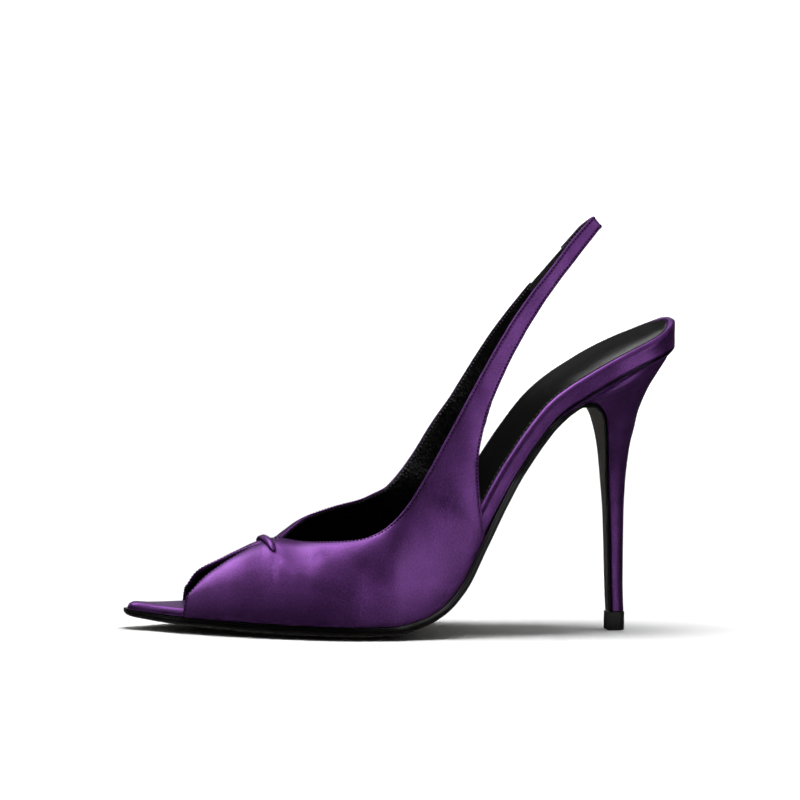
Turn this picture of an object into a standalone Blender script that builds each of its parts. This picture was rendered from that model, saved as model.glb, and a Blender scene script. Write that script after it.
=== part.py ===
"""Peep toe slingback pump with a stiletto heel: the left shoe, standing empty on its sole.

Metres, +Z up. The toe points to -X, the lateral (outer) side to -Y. The origin is on the floor,
under the middle of the shoe.
"""

import math

import bmesh
import bpy
import numpy as np

# Driving dimensions of the last
LENGTH = 0.2080
BALL_WIDTH = 0.0710
SEAT_WIDTH = 0.0490
HEEL_HEIGHT = 0.1105
COLLAR_RISE = 0.0630

# Driving dimensions of the pieces
WALL = 0.0016
SOLE_THICKNESS = 0.0027
TREAD_BULGE = 0.0018
TOE_MARGIN = 0.0010
INSOLE_THICKNESS = 0.0058
INSOLE_EDGE_RADIUS = 0.0020
INSOLE_CROWN = 0.0006
SOCK_RECESS = 0.0009
SOCK_THICKNESS = 0.0008
SOCK_FRONT_ROUND = 0.0120
RAND_WIDTH = 0.0022
HEEL_TIP_WIDTH = 0.0070
TOP_PIECE_HEIGHT = 0.0070
TOP_PIECE_LIP = 0.0003
STRAP_BEND_RADIUS = 0.0032
BAND_WIDTH = 0.0031
BAND_THICKNESS = 0.0017
ELASTIC_THICKNESS = 0.0010

# Clearance between neighbouring pieces
CLEARANCE = 0.0003
FEATHER_EASE = 0.0006

# Places along the last, as shares of LENGTH
SOCK_FIRST = 0.2400
SOCK_LAST = 0.9830
TOE_MARGIN_FADES = 0.0460
SOLE_LEAVES_SEAT = 0.7490
UPRIGHT_FROM = 0.9150
SLOPE_REACH = 0.0020

# Shares of a section's half width, or of its edge radius
EDGE_RADIUS_LIMIT = 0.45
EDGE_MIDDLE = 0.30
BED_LEAST = 0.30
CROWN_SHARES = (0.62, 0.25)
SOLE_UNDERCUT = 0.985
TREAD_FULLNESS = 3
HEEL_ROUNDNESS = 2.4
TOP_PIECE_ROUND = 0.45
ELASTIC_INSET = 0.09

# Where along its round front the sock has sections, and its least width there
SOCK_FRONT_PLACES = (0.0, 0.04, 0.15, 0.4)
SOCK_FRONT_END = 0.7
SOCK_LEAST_WIDTH = 0.02

# The band's place on the vamp: its row, how far its ends sweep back and how far they reach down
BAND_ROW = 3.45
BAND_SWEEP = 0.45
BAND_REACH = 0.29
BAND_TAPER = 0.85
BAND_SPAN = 0.10
BAND_SHIFT = 0.30

# Fineness of the faceted solids
STATION_STEP = 0.0048
COLUMN_STEPS = 3
WALL_STEPS = 8
HEEL_STEPS = 2
HEEL_PAIRS = 9
SOLE_ACROSS = 6
BEND_STEPS = 8
BAND_STEPS = 14
BAND_SIDES = 6
ELASTIC_STEPS = 3
ROW_REACH = 0.02
SWELL_LEAN = 0.7
SHARP_ANGLE = math.radians(40)
MERGE_WITHIN = 0.00002

FORE_LEVEL = 1.25 * SOLE_THICKNESS + 0.85 * TREAD_BULGE
BALL_HALF = BALL_WIDTH / 2
SEAT_HALF = SEAT_WIDTH / 2
TIP_HALF = HEEL_TIP_WIDTH / 2
HEEL_LOW = TOP_PIECE_HEIGHT + CLEARANCE


def table(names, rows):
    """A table as one list for each named column."""
    return {name: [row[i] for row in rows] for i, name in enumerate(names.split())}


def curve(places, values):
    """A smooth function through the values at their places, with no overshoot between them."""
    x, y = np.array(places, float), np.array(values, float)
    step = np.diff(x)
    rise = np.diff(y) / step
    slope = np.zeros_like(y)
    slope[0], slope[-1] = rise[0], rise[-1]
    for i in range(1, len(x) - 1):
        if rise[i - 1] * rise[i] > 0:
            before, after = 2 * step[i] + step[i - 1], step[i] + 2 * step[i - 1]
            slope[i] = (before + after) / (before / rise[i - 1] + after / rise[i])

    def value(place):
        i = int(np.clip(np.searchsorted(x, place, side="right") - 1, 0, len(step) - 1))
        t = (place - x[i]) / step[i]
        near = (1 + 2 * t) * (1 - t) ** 2 * y[i] + t * t * (3 - 2 * t) * y[i + 1]
        return near + step[i] * t * (1 - t) * ((1 - t) * slope[i] - t * slope[i + 1])

    return value


# The last, a row for each section from the toe tip to the back of the seat.
# at: place along LENGTH. rise: share of the seat's climb to HEEL_HEIGHT. ball and seat: shares of
# the two half widths, which add up. centre: centre line towards the medial side, share of the ball's
# half width. board: share of INSOLE_THICKNESS. sole, bulge: shares of SOLE_THICKNESS and TREAD_BULGE.
# ledge: how much of the upper's wall the outsole stands out for. sock: depth of the sock's bed.
LAST = table(
    "at rise ball seat centre board sole bulge ledge sock",
    [
        (0.0000, 0.0200, 0.017, 0.000, 0.197, 0.14, 0.20, 0.05, 0.50, 0.00),
        (0.0024, 0.0200, 0.048, 0.000, 0.197, 0.30, 0.40, 0.12, 0.50, 0.00),
        (0.0070, 0.0195, 0.080, 0.000, 0.194, 0.43, 0.58, 0.20, 0.50, 0.00),
        (0.0190, 0.0180, 0.130, 0.000, 0.186, 0.51, 0.70, 0.30, 0.55, 0.00),
        (0.0460, 0.0130, 0.222, 0.000, 0.167, 0.52, 0.80, 0.40, 0.75, 0.00),
        (0.0840, 0.0095, 0.372, 0.000, 0.141, 0.52, 0.88, 0.60, 1.00, 0.00),
        (0.1420, 0.0080, 0.558, 0.000, 0.096, 0.52, 1.00, 0.90, 1.00, 0.00),
        (0.2140, 0.0050, 0.755, 0.000, 0.056, 0.52, 1.20, 1.15, 1.00, 1.00),
        (0.2860, 0.0020, 0.899, 0.000, 0.028, 0.52, 1.25, 1.10, 1.00, 1.00),
        (0.3820, 0.0000, 1.000, 0.000, 0.000, 0.52, 1.25, 1.00, 1.00, 1.00),
        (0.4540, 0.0030, 0.975, 0.000, -0.011, 0.54, 1.20, 1.15, 1.00, 1.00),
        (0.5070, 0.0250, 0.800, 0.130, -0.022, 0.60, 1.06, 0.60, 1.00, 1.00),
        (0.5460, 0.0625, 0.640, 0.256, -0.028, 0.70, 1.00, 0.30, 1.00, 1.00),
        (0.5840, 0.1430, 0.480, 0.407, -0.028, 0.84, 1.00, 0.20, 1.00, 1.00),
        (0.6230, 0.2945, 0.320, 0.557, -0.028, 0.95, 1.00, 0.20, 1.00, 1.00),
        (0.6610, 0.4395, 0.160, 0.727, -0.028, 1.00, 1.00, 0.20, 0.45, 1.00),
        (0.6950, 0.5550, 0.000, 0.918, -0.028, 1.00, 1.00, 0.20, 0.00, 1.00),
        (0.7310, 0.6600, 0.000, 0.910, -0.022, 1.00, 1.00, 0.20, 0.00, 1.00),
        (0.7670, 0.7480, 0.000, 0.918, -0.014, 1.00, 1.00, 0.20, 0.00, 1.00),
        (0.8030, 0.8060, 0.000, 0.955, 0.000, 1.00, 1.00, 0.20, 0.00, 1.00),
        (0.8390, 0.8510, 0.000, 0.985, 0.000, 1.00, 1.00, 0.20, 0.00, 1.00),
        (0.8760, 0.8940, 0.000, 1.000, 0.000, 1.00, 1.00, 0.20, 0.00, 1.00),
        (0.9150, 0.9320, 0.000, 0.971, 0.000, 1.02, 1.00, 0.20, 0.00, 1.00),
        (0.9400, 0.9530, 0.000, 0.915, 0.000, 1.06, 1.00, 0.20, 0.00, 1.00),
        (0.9690, 0.9760, 0.000, 0.760, 0.000, 1.20, 1.00, 0.20, 0.00, 1.00),
        (0.9835, 0.9875, 0.000, 0.585, 0.000, 1.34, 1.00, 0.20, 0.00, 1.00),
        (0.9900, 0.9925, 0.000, 0.470, 0.000, 1.43, 1.00, 0.20, 0.00, 0.00),
        (0.9965, 0.9975, 0.000, 0.280, 0.000, 1.45, 1.00, 0.20, 0.00, 0.00),
        (1.0000, 1.0000, 0.000, 0.080, 0.000, 1.24, 1.00, 0.20, 0.00, 0.00),
    ],
)
LAST_CURVES = {name: curve(LAST["at"], values) for name, values in LAST.items() if name != "at"}

# The breast, where the sole leaves the seat and runs down the front of the heel, with the heel's
# back opposite each row. up, back_up: shares of the climb from the top piece to HEEL_HEIGHT.
# wide: share of the way from the tip's half width to the seat's. sole: share of SOLE_THICKNESS.
BREAST = table(
    "at up wide sole back_at back_up",
    [
        (0.7680, 0.7350, 0.895, 0.92, 0.9970, 0.985),
        (0.7880, 0.7650, 0.895, 0.80, 0.9875, 0.943),
        (0.8125, 0.7870, 0.868, 0.65, 0.9700, 0.887),
        (0.8340, 0.7825, 0.766, 0.50, 0.9560, 0.841),
        (0.8525, 0.7580, 0.617, 0.42, 0.9440, 0.788),
        (0.8630, 0.7230, 0.498, 0.38, 0.9345, 0.734),
        (0.8690, 0.6705, 0.345, 0.37, 0.9290, 0.676),
        (0.8735, 0.6075, 0.220, 0.37, 0.9225, 0.615),
        (0.8780, 0.4910, 0.091, 0.37, 0.9160, 0.491),
        (0.8830, 0.3650, 0.029, 0.37, 0.9140, 0.365),
        (0.8865, 0.2200, 0.010, 0.37, 0.9145, 0.220),
        (0.8890, 0.1035, 0.005, 0.37, 0.9154, 0.103),
        (0.8920, 0.0000, 0.000, 0.37, 0.9180, 0.000),
    ],
)

# The upper's sections, a row for each column of the wall, from the peep toe back to the strap.
# foot_at: place on the feather edge, or, with foot_over and foot_out, on the quarter's rear edge.
# over: height over the seat line, share of COLLAR_RISE. out: share of the ball's half width.
# full: 0 for a flat wall, 1 for a round one. swell: share of the ball's half width, at mid height.
ON_FEATHER = None
COLUMNS = "foot_at foot_over foot_out top_at top_over top_out full swell"
LATERAL = table(
    COLUMNS,
    [
        (0.0845, ON_FEATHER, ON_FEATHER, 0.0965, 0.141, 0.268, 0.90, 0.010),
        (0.1225, ON_FEATHER, ON_FEATHER, 0.1305, 0.256, 0.242, 1.00, 0.020),
        (0.1780, ON_FEATHER, ON_FEATHER, 0.1900, 0.380, 0.163, 1.00, 0.030),
        (0.2235, ON_FEATHER, ON_FEATHER, 0.2380, 0.448, 0.000, 1.00, 0.030),
        (0.2430, ON_FEATHER, ON_FEATHER, 0.2565, 0.468, 0.000, 1.00, 0.030),
        (0.2600, ON_FEATHER, ON_FEATHER, 0.2735, 0.478, 0.000, 1.00, 0.030),
        (0.2830, ON_FEATHER, ON_FEATHER, 0.3040, 0.472, 0.190, 0.98, 0.030),
        (0.3075, ON_FEATHER, ON_FEATHER, 0.3340, 0.483, 0.423, 0.95, 0.030),
        (0.3580, ON_FEATHER, ON_FEATHER, 0.3995, 0.513, 0.676, 0.85, 0.030),
        (0.4210, ON_FEATHER, ON_FEATHER, 0.4280, 0.554, 0.746, 0.75, 0.030),
        (0.4830, ON_FEATHER, ON_FEATHER, 0.4520, 0.612, 0.786, 0.78, 0.035),
        (0.5410, ON_FEATHER, ON_FEATHER, 0.4690, 0.663, 0.803, 0.75, 0.040),
        (0.5910, ON_FEATHER, ON_FEATHER, 0.4835, 0.713, 0.811, 0.65, 0.045),
        (0.6290, ON_FEATHER, ON_FEATHER, 0.4985, 0.779, 0.817, 0.40, 0.050),
        (0.6190, 0.267, 0.789, 0.5205, 0.879, 0.806, 0.05, 0.040),
        (0.6130, 0.552, 0.789, 0.5580, 1.022, 0.766, 0.00, 0.025),
        (0.6270, 0.711, 0.747, 0.5975, 1.073, 0.704, 0.00, 0.010),
        (0.6660, 0.760, 0.628, 0.6360, 1.024, 0.620, 0.00, 0.000),
        (0.7020, 0.768, 0.532, 0.6755, 0.984, 0.530, 0.00, 0.000),
        (0.7380, 0.765, 0.431, 0.7155, 0.940, 0.428, 0.00, 0.000),
        (0.7745, 0.779, 0.335, 0.7550, 0.914, 0.332, 0.00, 0.000),
        (0.8140, 0.830, 0.230, 0.7950, 0.948, 0.225, 0.00, 0.000),
        (0.8540, 0.893, 0.110, 0.8370, 0.995, 0.105, 0.00, 0.000),
    ],
)
MEDIAL = table(
    COLUMNS,
    [
        (0.1200, ON_FEATHER, ON_FEATHER, 0.1190, 0.138, 0.493, 0.90, 0.010),
        (0.1420, ON_FEATHER, ON_FEATHER, 0.1360, 0.240, 0.380, 1.00, 0.020),
        (0.1820, ON_FEATHER, ON_FEATHER, 0.1775, 0.334, 0.211, 1.00, 0.030),
        (0.2235, ON_FEATHER, ON_FEATHER, 0.2380, 0.448, 0.000, 1.00, 0.030),
        (0.2430, ON_FEATHER, ON_FEATHER, 0.2565, 0.468, 0.000, 1.00, 0.030),
        (0.2600, ON_FEATHER, ON_FEATHER, 0.2735, 0.478, 0.000, 1.00, 0.030),
        (0.2830, ON_FEATHER, ON_FEATHER, 0.2980, 0.525, 0.120, 0.98, 0.030),
        (0.3075, ON_FEATHER, ON_FEATHER, 0.3340, 0.587, 0.296, 0.95, 0.030),
        (0.3580, ON_FEATHER, ON_FEATHER, 0.3970, 0.643, 0.493, 0.85, 0.030),
        (0.4210, ON_FEATHER, ON_FEATHER, 0.4470, 0.672, 0.634, 0.75, 0.030),
        (0.4830, ON_FEATHER, ON_FEATHER, 0.4735, 0.697, 0.693, 0.78, 0.035),
        (0.5410, ON_FEATHER, ON_FEATHER, 0.4930, 0.711, 0.724, 0.75, 0.040),
        (0.5910, ON_FEATHER, ON_FEATHER, 0.5110, 0.749, 0.746, 0.65, 0.045),
        (0.6330, ON_FEATHER, ON_FEATHER, 0.5290, 0.794, 0.766, 0.40, 0.050),
        (0.6245, 0.250, 0.760, 0.5480, 0.845, 0.783, 0.05, 0.040),
        (0.6245, 0.465, 0.775, 0.5765, 0.906, 0.780, 0.00, 0.025),
        (0.6430, 0.538, 0.760, 0.6130, 0.873, 0.747, 0.00, 0.010),
        (0.6735, 0.571, 0.704, 0.6470, 0.844, 0.699, 0.00, 0.000),
        (0.7080, 0.616, 0.586, 0.6820, 0.838, 0.589, 0.00, 0.000),
        (0.7400, 0.654, 0.462, 0.7150, 0.840, 0.462, 0.00, 0.000),
        (0.7635, 0.705, 0.349, 0.7430, 0.849, 0.349, 0.00, 0.000),
    ],
)
# The strap's medial end, from the back bend down to the elastic
STRAP_TAIL = table(
    COLUMNS,
    [
        (0.8400, 0.860, -0.120, 0.8220, 0.960, -0.120, 0.00, 0.000),
        (0.8100, 0.794, -0.186, 0.7920, 0.903, -0.186, 0.00, 0.000),
    ],
)
FIRST_BRIDGE_ROW = 3
LAST_BRIDGE_ROW = 5


def along(at):
    """X of a place along the last."""
    return TOE_MARGIN / 2 + (at - 0.5) * LENGTH


def seat_height(at):
    """Height of the seat line, on which the insole lies, at a place along the last."""
    return FORE_LEVEL + LAST_CURVES["rise"](at) * (HEEL_HEIGHT - FORE_LEVEL)


def seat_point(at):
    return np.array([along(at), 0.0, seat_height(at)])


def seat_normal(at):
    """The direction square to the seat line, up into the shoe."""
    low, high = max(at - SLOPE_REACH, 0.0), min(at + SLOPE_REACH, 1.0)
    run = seat_point(high) - seat_point(low)
    return np.array([-run[2], 0.0, run[0]]) / math.hypot(run[0], run[2])


def board_normal(at):
    """The direction in which the insole is thick: square to the seat, but upright at the very back."""
    share = max(0.0, (at - UPRIGHT_FROM) / (1 - UPRIGHT_FROM))
    lean = seat_normal(at) * (1 - share) + np.array([0.0, 0.0, share])
    return lean / np.linalg.norm(lean)


def half_width(at):
    return LAST_CURVES["ball"](at) * BALL_HALF + LAST_CURVES["seat"](at) * SEAT_HALF


def centre_line(at):
    return LAST_CURVES["centre"](at) * BALL_HALF


def stations(first, last):
    """Places along the last from first to last: each row of the table, and more between rows far apart."""
    rows = [at for at in LAST["at"] if first < at < last]
    rows = [first] + rows + [last]
    places = []
    for near, far in zip(rows, rows[1:]):
        count = math.ceil(np.linalg.norm(seat_point(far) - seat_point(near)) / STATION_STEP)
        places += [near + (far - near) * i / count for i in range(count)]
    return places + [last]


def material(name, colour, roughness, metallic=0.0):
    """A plain finish with a linear base colour."""
    finish = bpy.data.materials.new(name)
    finish.use_nodes = True
    shader = finish.node_tree.nodes["Principled BSDF"]
    shader.inputs["Base Color"].default_value = (*colour, 1.0)
    shader.inputs["Roughness"].default_value = roughness
    shader.inputs["Metallic"].default_value = metallic
    return finish


def add_piece(name, form, finish):
    """Turns a bmesh into a smooth-shaded object of the scene."""
    mesh = bpy.data.meshes.new(name)
    form.to_mesh(mesh)
    form.free()
    mesh.materials.append(finish)
    mesh.shade_smooth()
    mesh.set_sharp_from_angle(angle=SHARP_ANGLE)
    piece = bpy.data.objects.new(name, mesh)
    bpy.context.scene.collection.objects.link(piece)
    return piece


def loft(rings, cap_last=True):
    """A closed form through rings of as many points, capped flat at its ends."""
    form = bmesh.new()
    verts = [[form.verts.new(point) for point in ring] for ring in rings]
    count = len(rings[0])
    for near, far in zip(verts, verts[1:]):
        for i in range(count):
            j = (i + 1) % count
            form.faces.new((near[i], near[j], far[j], far[i]))
    form.faces.new(verts[0])
    if cap_last:
        form.faces.new(verts[-1])
    else:
        cap_across(form, verts[-1])
    bmesh.ops.triangulate(form, faces=form.faces[:])
    bmesh.ops.recalc_face_normals(form, faces=form.faces[:])
    return form


def cap_across(form, ring):
    """Closes a ring whose first and second halves mirror each other, with strips across it."""
    pairs = len(ring) // 2
    for i in range(pairs - 1):
        form.faces.new((ring[i], ring[i + 1], ring[-2 - i], ring[-1 - i]))
    form.faces.new((ring[pairs - 1], ring[pairs], ring[pairs + 1]))


def edge_radius(half):
    """Radius of the insole's top edge, smaller where the insole is narrow."""
    return min(INSOLE_EDGE_RADIUS, EDGE_RADIUS_LIMIT * half)


def insole_top(at, out, half):
    """Height of the insole's top over its underside, at a distance out from its centre line."""
    radius = edge_radius(half)
    thick = LAST_CURVES["board"](at) * INSOLE_THICKNESS
    inside = max(0.0, out - (half - radius))
    drop = radius - math.sqrt(max(radius**2 - inside**2, 0.0))
    crown = INSOLE_CROWN * min(1.0, half / BALL_HALF) * (1 - (out / half) ** 2)
    recess = SOCK_RECESS * LAST_CURVES["sock"](at) if out < half - RAND_WIDTH - CLEARANCE / 2 else 0.0
    return thick - drop + crown - recess


def board_ring(at):
    """The insole's section: flat under, round at its top edges, with a shallow bed for the sock."""
    half, centre, normal = half_width(at), centre_line(at), board_normal(at)
    base = seat_point(at) + CLEARANCE * seat_normal(at)
    radius = edge_radius(half)
    bed = max(half - RAND_WIDTH, BED_LEAST * half)
    outs = [half, half - EDGE_MIDDLE * radius, half - radius]
    outs += [bed + CLEARANCE / 4, bed - CLEARANCE]
    outs += [share * (bed - CLEARANCE) for share in CROWN_SHARES]
    ring = [base + [0, centre + half, 0], base + [0, centre - half, 0]]
    for side, reach in [(-1, out) for out in outs] + [(1, out) for out in reversed(outs)]:
        ring.append(base + [0, centre + side * reach, 0] + normal * insole_top(at, reach, half))
    return ring


def make_insole():
    form = loft([board_ring(at) for at in stations(0.0, 1.0)])
    return add_piece("insole", form, material("satin_rand", (0.10, 0.03, 0.16), 0.45))


def sock_half(at):
    """Half width of the sock, which lies in the insole's bed and has a round front."""
    front = min(1.0, (at - SOCK_FIRST) * LENGTH / SOCK_FRONT_ROUND)
    rounded = math.sqrt(max(1 - (1 - front) ** 2, SOCK_LEAST_WIDTH**2))
    return (half_width(at) - RAND_WIDTH - 2 * CLEARANCE) * rounded


def sock_ring(at):
    """The sock's section, which follows the bed in the insole's top."""
    half, centre, normal = half_width(at), centre_line(at), board_normal(at)
    base = seat_point(at) + CLEARANCE * seat_normal(at)
    bed = half - RAND_WIDTH - CLEARANCE
    outs = [sock_half(at)] + [min(share * bed, sock_half(at)) for share in CROWN_SHARES]
    under, over = [], []
    for side, reach in [(-1, out) for out in outs] + [(1, out) for out in reversed(outs)]:
        up = insole_top(at, reach, half) + CLEARANCE
        under.append(base + [0, centre + side * reach, 0] + normal * up)
        over.append(base + [0, centre + side * reach, 0] + normal * (up + SOCK_THICKNESS))
    return under + over[::-1]


def make_sock_lining():
    round_share = SOCK_FRONT_ROUND / LENGTH
    places = [SOCK_FIRST + round_share * share for share in SOCK_FRONT_PLACES]
    places += stations(SOCK_FIRST + round_share * SOCK_FRONT_END, SOCK_LAST)
    form = loft([sock_ring(at) for at in places])
    return add_piece("sock_lining", form, material("black_sock", (0.01, 0.01, 0.012), 0.45))


def sole_half(at):
    """Half width of the outsole, which stands out under the upper's wall."""
    return half_width(at) + LAST_CURVES["ledge"](at) * (WALL + FEATHER_EASE + CLEARANCE)


def sole_ring(top, normal, centre, half, edge, bulge):
    """A section of the outsole: flat on top, full under, and never lower than the floor."""
    ring = [top + [0, centre + half, 0], top + [0, centre - half, 0]]
    for i in range(SOLE_ACROSS + 1):
        place = 2 * i / SOLE_ACROSS - 1
        thick = edge + bulge * (1 - abs(place) ** TREAD_FULLNESS)
        point = top + [0, centre + place * half * SOLE_UNDERCUT, 0] - normal * thick
        point[2] = max(point[2], 0.0)
        ring.append(point)
    return ring


def seat_sole_ring(at):
    """The outsole's section where it lies under the insole and the upper."""
    half = sole_half(at)
    past = TOE_MARGIN * max(0.0, 1 - at / TOE_MARGIN_FADES)
    top = seat_point(at) - [past, 0, 0]
    edge = LAST_CURVES["sole"](at) * SOLE_THICKNESS
    bulge = LAST_CURVES["bulge"](at) * TREAD_BULGE
    return sole_ring(top, seat_normal(at), centre_line(at), half, edge, bulge)


def breast_path():
    """Rows down the breast: (top point, normal up into the heel, half width, thickness, heel's back)."""
    climb = HEEL_HEIGHT - HEEL_LOW
    rows = range(len(BREAST["at"]))
    fronts = [np.array([along(BREAST["at"][i]), 0.0, HEEL_LOW + BREAST["up"][i] * climb]) for i in rows]
    backs = [
        np.array([along(BREAST["back_at"][i]), 0.0, HEEL_LOW + BREAST["back_up"][i] * climb]) for i in rows
    ]
    wides = [TIP_HALF + BREAST["wide"][i] * (SEAT_HALF - TIP_HALF) for i in rows]
    front_x, front_z = (curve(rows, [p[k] for p in fronts]) for k in (0, 2))
    back_x, back_z = (curve(rows, [p[k] for p in backs]) for k in (0, 2))
    wide = curve(rows, wides)
    thick = curve(rows, [share * SOLE_THICKNESS for share in BREAST["sole"]])
    path = []
    for step in range(HEEL_STEPS * (len(rows) - 1) + 1):
        row = step / HEEL_STEPS
        low, high = max(row - ROW_REACH, 0), min(row + ROW_REACH, len(rows) - 1)
        run_x, run_z = front_x(high) - front_x(low), front_z(high) - front_z(low)
        size = math.hypot(run_x, run_z)
        normal = np.array([-run_z / size, 0.0, run_x / size])
        front = np.array([front_x(row), 0.0, front_z(row)])
        back = np.array([back_x(row), 0.0, back_z(row)])
        path.append((front, normal, wide(row), thick(row), back))
    return path


def make_outsole():
    rings = [seat_sole_ring(at) for at in stations(0.0, SOLE_LEAVES_SEAT)]
    for front, normal, half, thick, _ in breast_path():
        rings.append(sole_ring(front, normal, 0.0, half, thick, 0.0))
    return add_piece("outsole", loft(rings), material("dark_sole", (0.015, 0.014, 0.014), 0.5))


def heel_ring(front, normal, half, back, seat_share):
    """A section of the heel from breast to back and round again. seat_share is 1 on the seat line."""
    start = front + CLEARANCE * normal
    left, right = [], []
    for i in range(HEEL_PAIRS + 1):
        t = math.sin(math.pi / 2 * i / HEEL_PAIRS)
        flat = start + (back - start) * t
        at = 0.5 + (flat[0] - TOE_MARGIN / 2) / LENGTH
        on_seat = np.array([flat[0], 0.0, seat_height(at)])
        point = flat + (on_seat - flat) * seat_share
        dee = half * math.sqrt(max(1 - t**HEEL_ROUNDNESS, 0.0))
        outline = half_width(at) - CLEARANCE
        wide = dee + (outline - dee) * seat_share
        left.append(point + [0, -wide, 0])
        right.append(point + [0, wide, 0])
    back_point = (left[-1] + right[-1]) / 2
    return left[:-1] + [back_point] + right[-2::-1]


def make_heel():
    path = breast_path()
    rings = []
    for front, normal, half, _, back in reversed(path):
        rings.append(heel_ring(front, normal, half, back, 0.0))
    front, normal, half, _, back = path[0]
    rings.append(heel_ring(front, normal, half, back, 1.0))
    form = loft(rings, cap_last=False)
    return add_piece("heel", form, material("satin_heel", (0.10, 0.03, 0.16), 0.4))


def make_top_piece():
    front, normal, half, thick, back = breast_path()[-1]
    first, last = front[0] - thick - TOP_PIECE_LIP, back[0] + TOP_PIECE_LIP
    half = half + TOP_PIECE_LIP
    outline = [(first, -half), (first, half)]
    for i in range(HEEL_PAIRS + 1):
        turn = math.pi * i / HEEL_PAIRS
        depth = TOP_PIECE_ROUND * (last - first)
        outline.append((last - depth + depth * math.sin(turn), half * math.cos(turn)))
    rings = [[(x, y, z) for x, y in outline] for z in (0.0, TOP_PIECE_HEIGHT)]
    return add_piece("heel_top_piece", loft(rings), material("black_rubber", (0.01, 0.01, 0.01), 0.6))


def wall_point(at, over, out, side):
    """A place on the upper: along the last, over the seat line, and out from the centre line."""
    return np.array([along(at), side * out * BALL_HALF, seat_height(at) + over * COLLAR_RISE])


def feather_point(at, side):
    """The foot of the upper's outer face, on the outsole just outside the insole's edge."""
    out = half_width(at) + FEATHER_EASE + WALL
    base = seat_point(at) + CLEARANCE * seat_normal(at)
    return base + [0, centre_line(at) + side * out, 0]


def row_ends(rows, i, side):
    """Foot and top of one row of a table of the upper."""
    if rows["foot_over"][i] is ON_FEATHER:
        foot = feather_point(rows["foot_at"][i], side)
    else:
        foot = wall_point(rows["foot_at"][i], rows["foot_over"][i], rows["foot_out"][i], side)
    top = wall_point(rows["top_at"][i], rows["top_over"][i], rows["top_out"][i], side)
    return foot, top


def wall_columns(rows, side):
    """Smooth columns (foot, top, full, swell) through a table of the upper."""
    index = range(len(rows["foot_at"]))
    ends = [row_ends(rows, i, side) for i in index]
    tracks = [[curve(index, [end[k][axis] for end in ends]) for axis in range(3)] for k in range(2)]
    foot_places = curve(index, rows["foot_at"])
    full, swell = curve(index, rows["full"]), curve(index, rows["swell"])
    columns = []
    for step in range(COLUMN_STEPS * (len(index) - 1) + 1):
        row = step / COLUMN_STEPS
        foot, top = (np.array([track(row) for track in tracks[k]]) for k in range(2))
        near = min(math.ceil(row), len(index) - 1)
        if rows["foot_over"][near] is ON_FEATHER:
            foot = feather_point(foot_places(row), side)
        columns.append((foot, top, full(row), swell(row)))
    return columns


def column_points(foot, top, full, swell, side):
    """Points up one column of the wall, from its foot to its top."""
    points = []
    for i in range(WALL_STEPS + 1):
        v = i / WALL_STEPS
        turn = v * math.pi / 2
        straight = foot + (top - foot) * v
        shares = np.array([v, 1 - math.cos(turn), math.sin(turn)])
        curved = foot + (top - foot) * shares
        point = straight + (curved - straight) * full
        point[1] += side * swell * BALL_HALF * math.sin(math.pi * v**SWELL_LEAN)
        points.append(point)
    return points


def bend_columns(first, last):
    """Columns round the back of the strap, between its lateral and its medial end."""
    columns = []
    for i in range(1, BEND_STEPS):
        turn = math.pi * i / BEND_STEPS
        share = (1 - math.cos(turn)) / 2
        foot = first[0] + (last[0] - first[0]) * share
        top = first[1] + (last[1] - first[1]) * share
        run = np.array([foot[2] - top[2], 0.0, top[0] - foot[0]])
        back = -run / np.linalg.norm(run)
        reach = STRAP_BEND_RADIUS * math.sin(turn)
        columns.append((foot + back * reach, top + back * reach, 0.0, 0.0))
    return columns


def wall_sheet(columns_by_side):
    """An open sheet through both sides' columns, joined along the ridge of the vamp."""
    form = bmesh.new()
    for columns, side in columns_by_side:
        grid = [[form.verts.new(p) for p in column_points(*column, side)] for column in columns]
        for near, far in zip(grid, grid[1:]):
            for i in range(WALL_STEPS):
                face = (near[i], near[i + 1], far[i + 1], far[i])
                form.faces.new(face if side > 0 else face[::-1])
    bmesh.ops.remove_doubles(form, verts=form.verts[:], dist=MERGE_WITHIN)
    return form


def upper_columns():
    """The lateral columns with the whole strap, and the medial ones up to the elastic."""
    lateral, medial = wall_columns(LATERAL, -1), wall_columns(MEDIAL, 1)
    first, last = FIRST_BRIDGE_ROW * COLUMN_STEPS, LAST_BRIDGE_ROW * COLUMN_STEPS
    for i in range(first, last + 1):
        ridge = (lateral[i][1] + medial[i][1]) / 2
        lateral[i] = (lateral[i][0], ridge, *lateral[i][2:])
        medial[i] = (medial[i][0], ridge, *medial[i][2:])
    tail = wall_columns(STRAP_TAIL, -1)
    lateral = lateral + bend_columns(lateral[-1], tail[0]) + tail
    return lateral, medial


def make_upper():
    lateral, medial = upper_columns()
    form = wall_sheet([(lateral, -1), (medial, 1)])
    upper = add_piece("upper", form, material("violet_satin", (0.12, 0.035, 0.19), 0.38))
    wall = upper.modifiers.new("wall", "SOLIDIFY")
    wall.thickness = WALL
    wall.offset = -1.0
    wall.use_even_offset = True
    wall.use_quality_normals = True
    wall.use_rim = True
    return upper


def wall_place(columns, side, row, up):
    """A point on the upper's outer face, at a table row and a share up the wall."""
    spot = row * COLUMN_STEPS
    near = min(int(spot), len(columns) - 2)
    ends = []
    for column in columns[near : near + 2]:
        points = column_points(*column, side)
        step = min(int(up * WALL_STEPS), WALL_STEPS - 1)
        ends.append(points[step] + (points[step + 1] - points[step]) * (up * WALL_STEPS - step))
    return ends[0] + (ends[1] - ends[0]) * (spot - near)


def band_place(lateral, medial, share, shift=0.0):
    """A point on the vamp under the band: share runs from -1, its lateral end, to 1."""
    columns, side = (lateral, -1) if share < 0 else (medial, 1)
    row = BAND_ROW + BAND_SWEEP * abs(share) + shift
    return wall_place(columns, side, row, 1 - BAND_REACH * abs(share))


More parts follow.
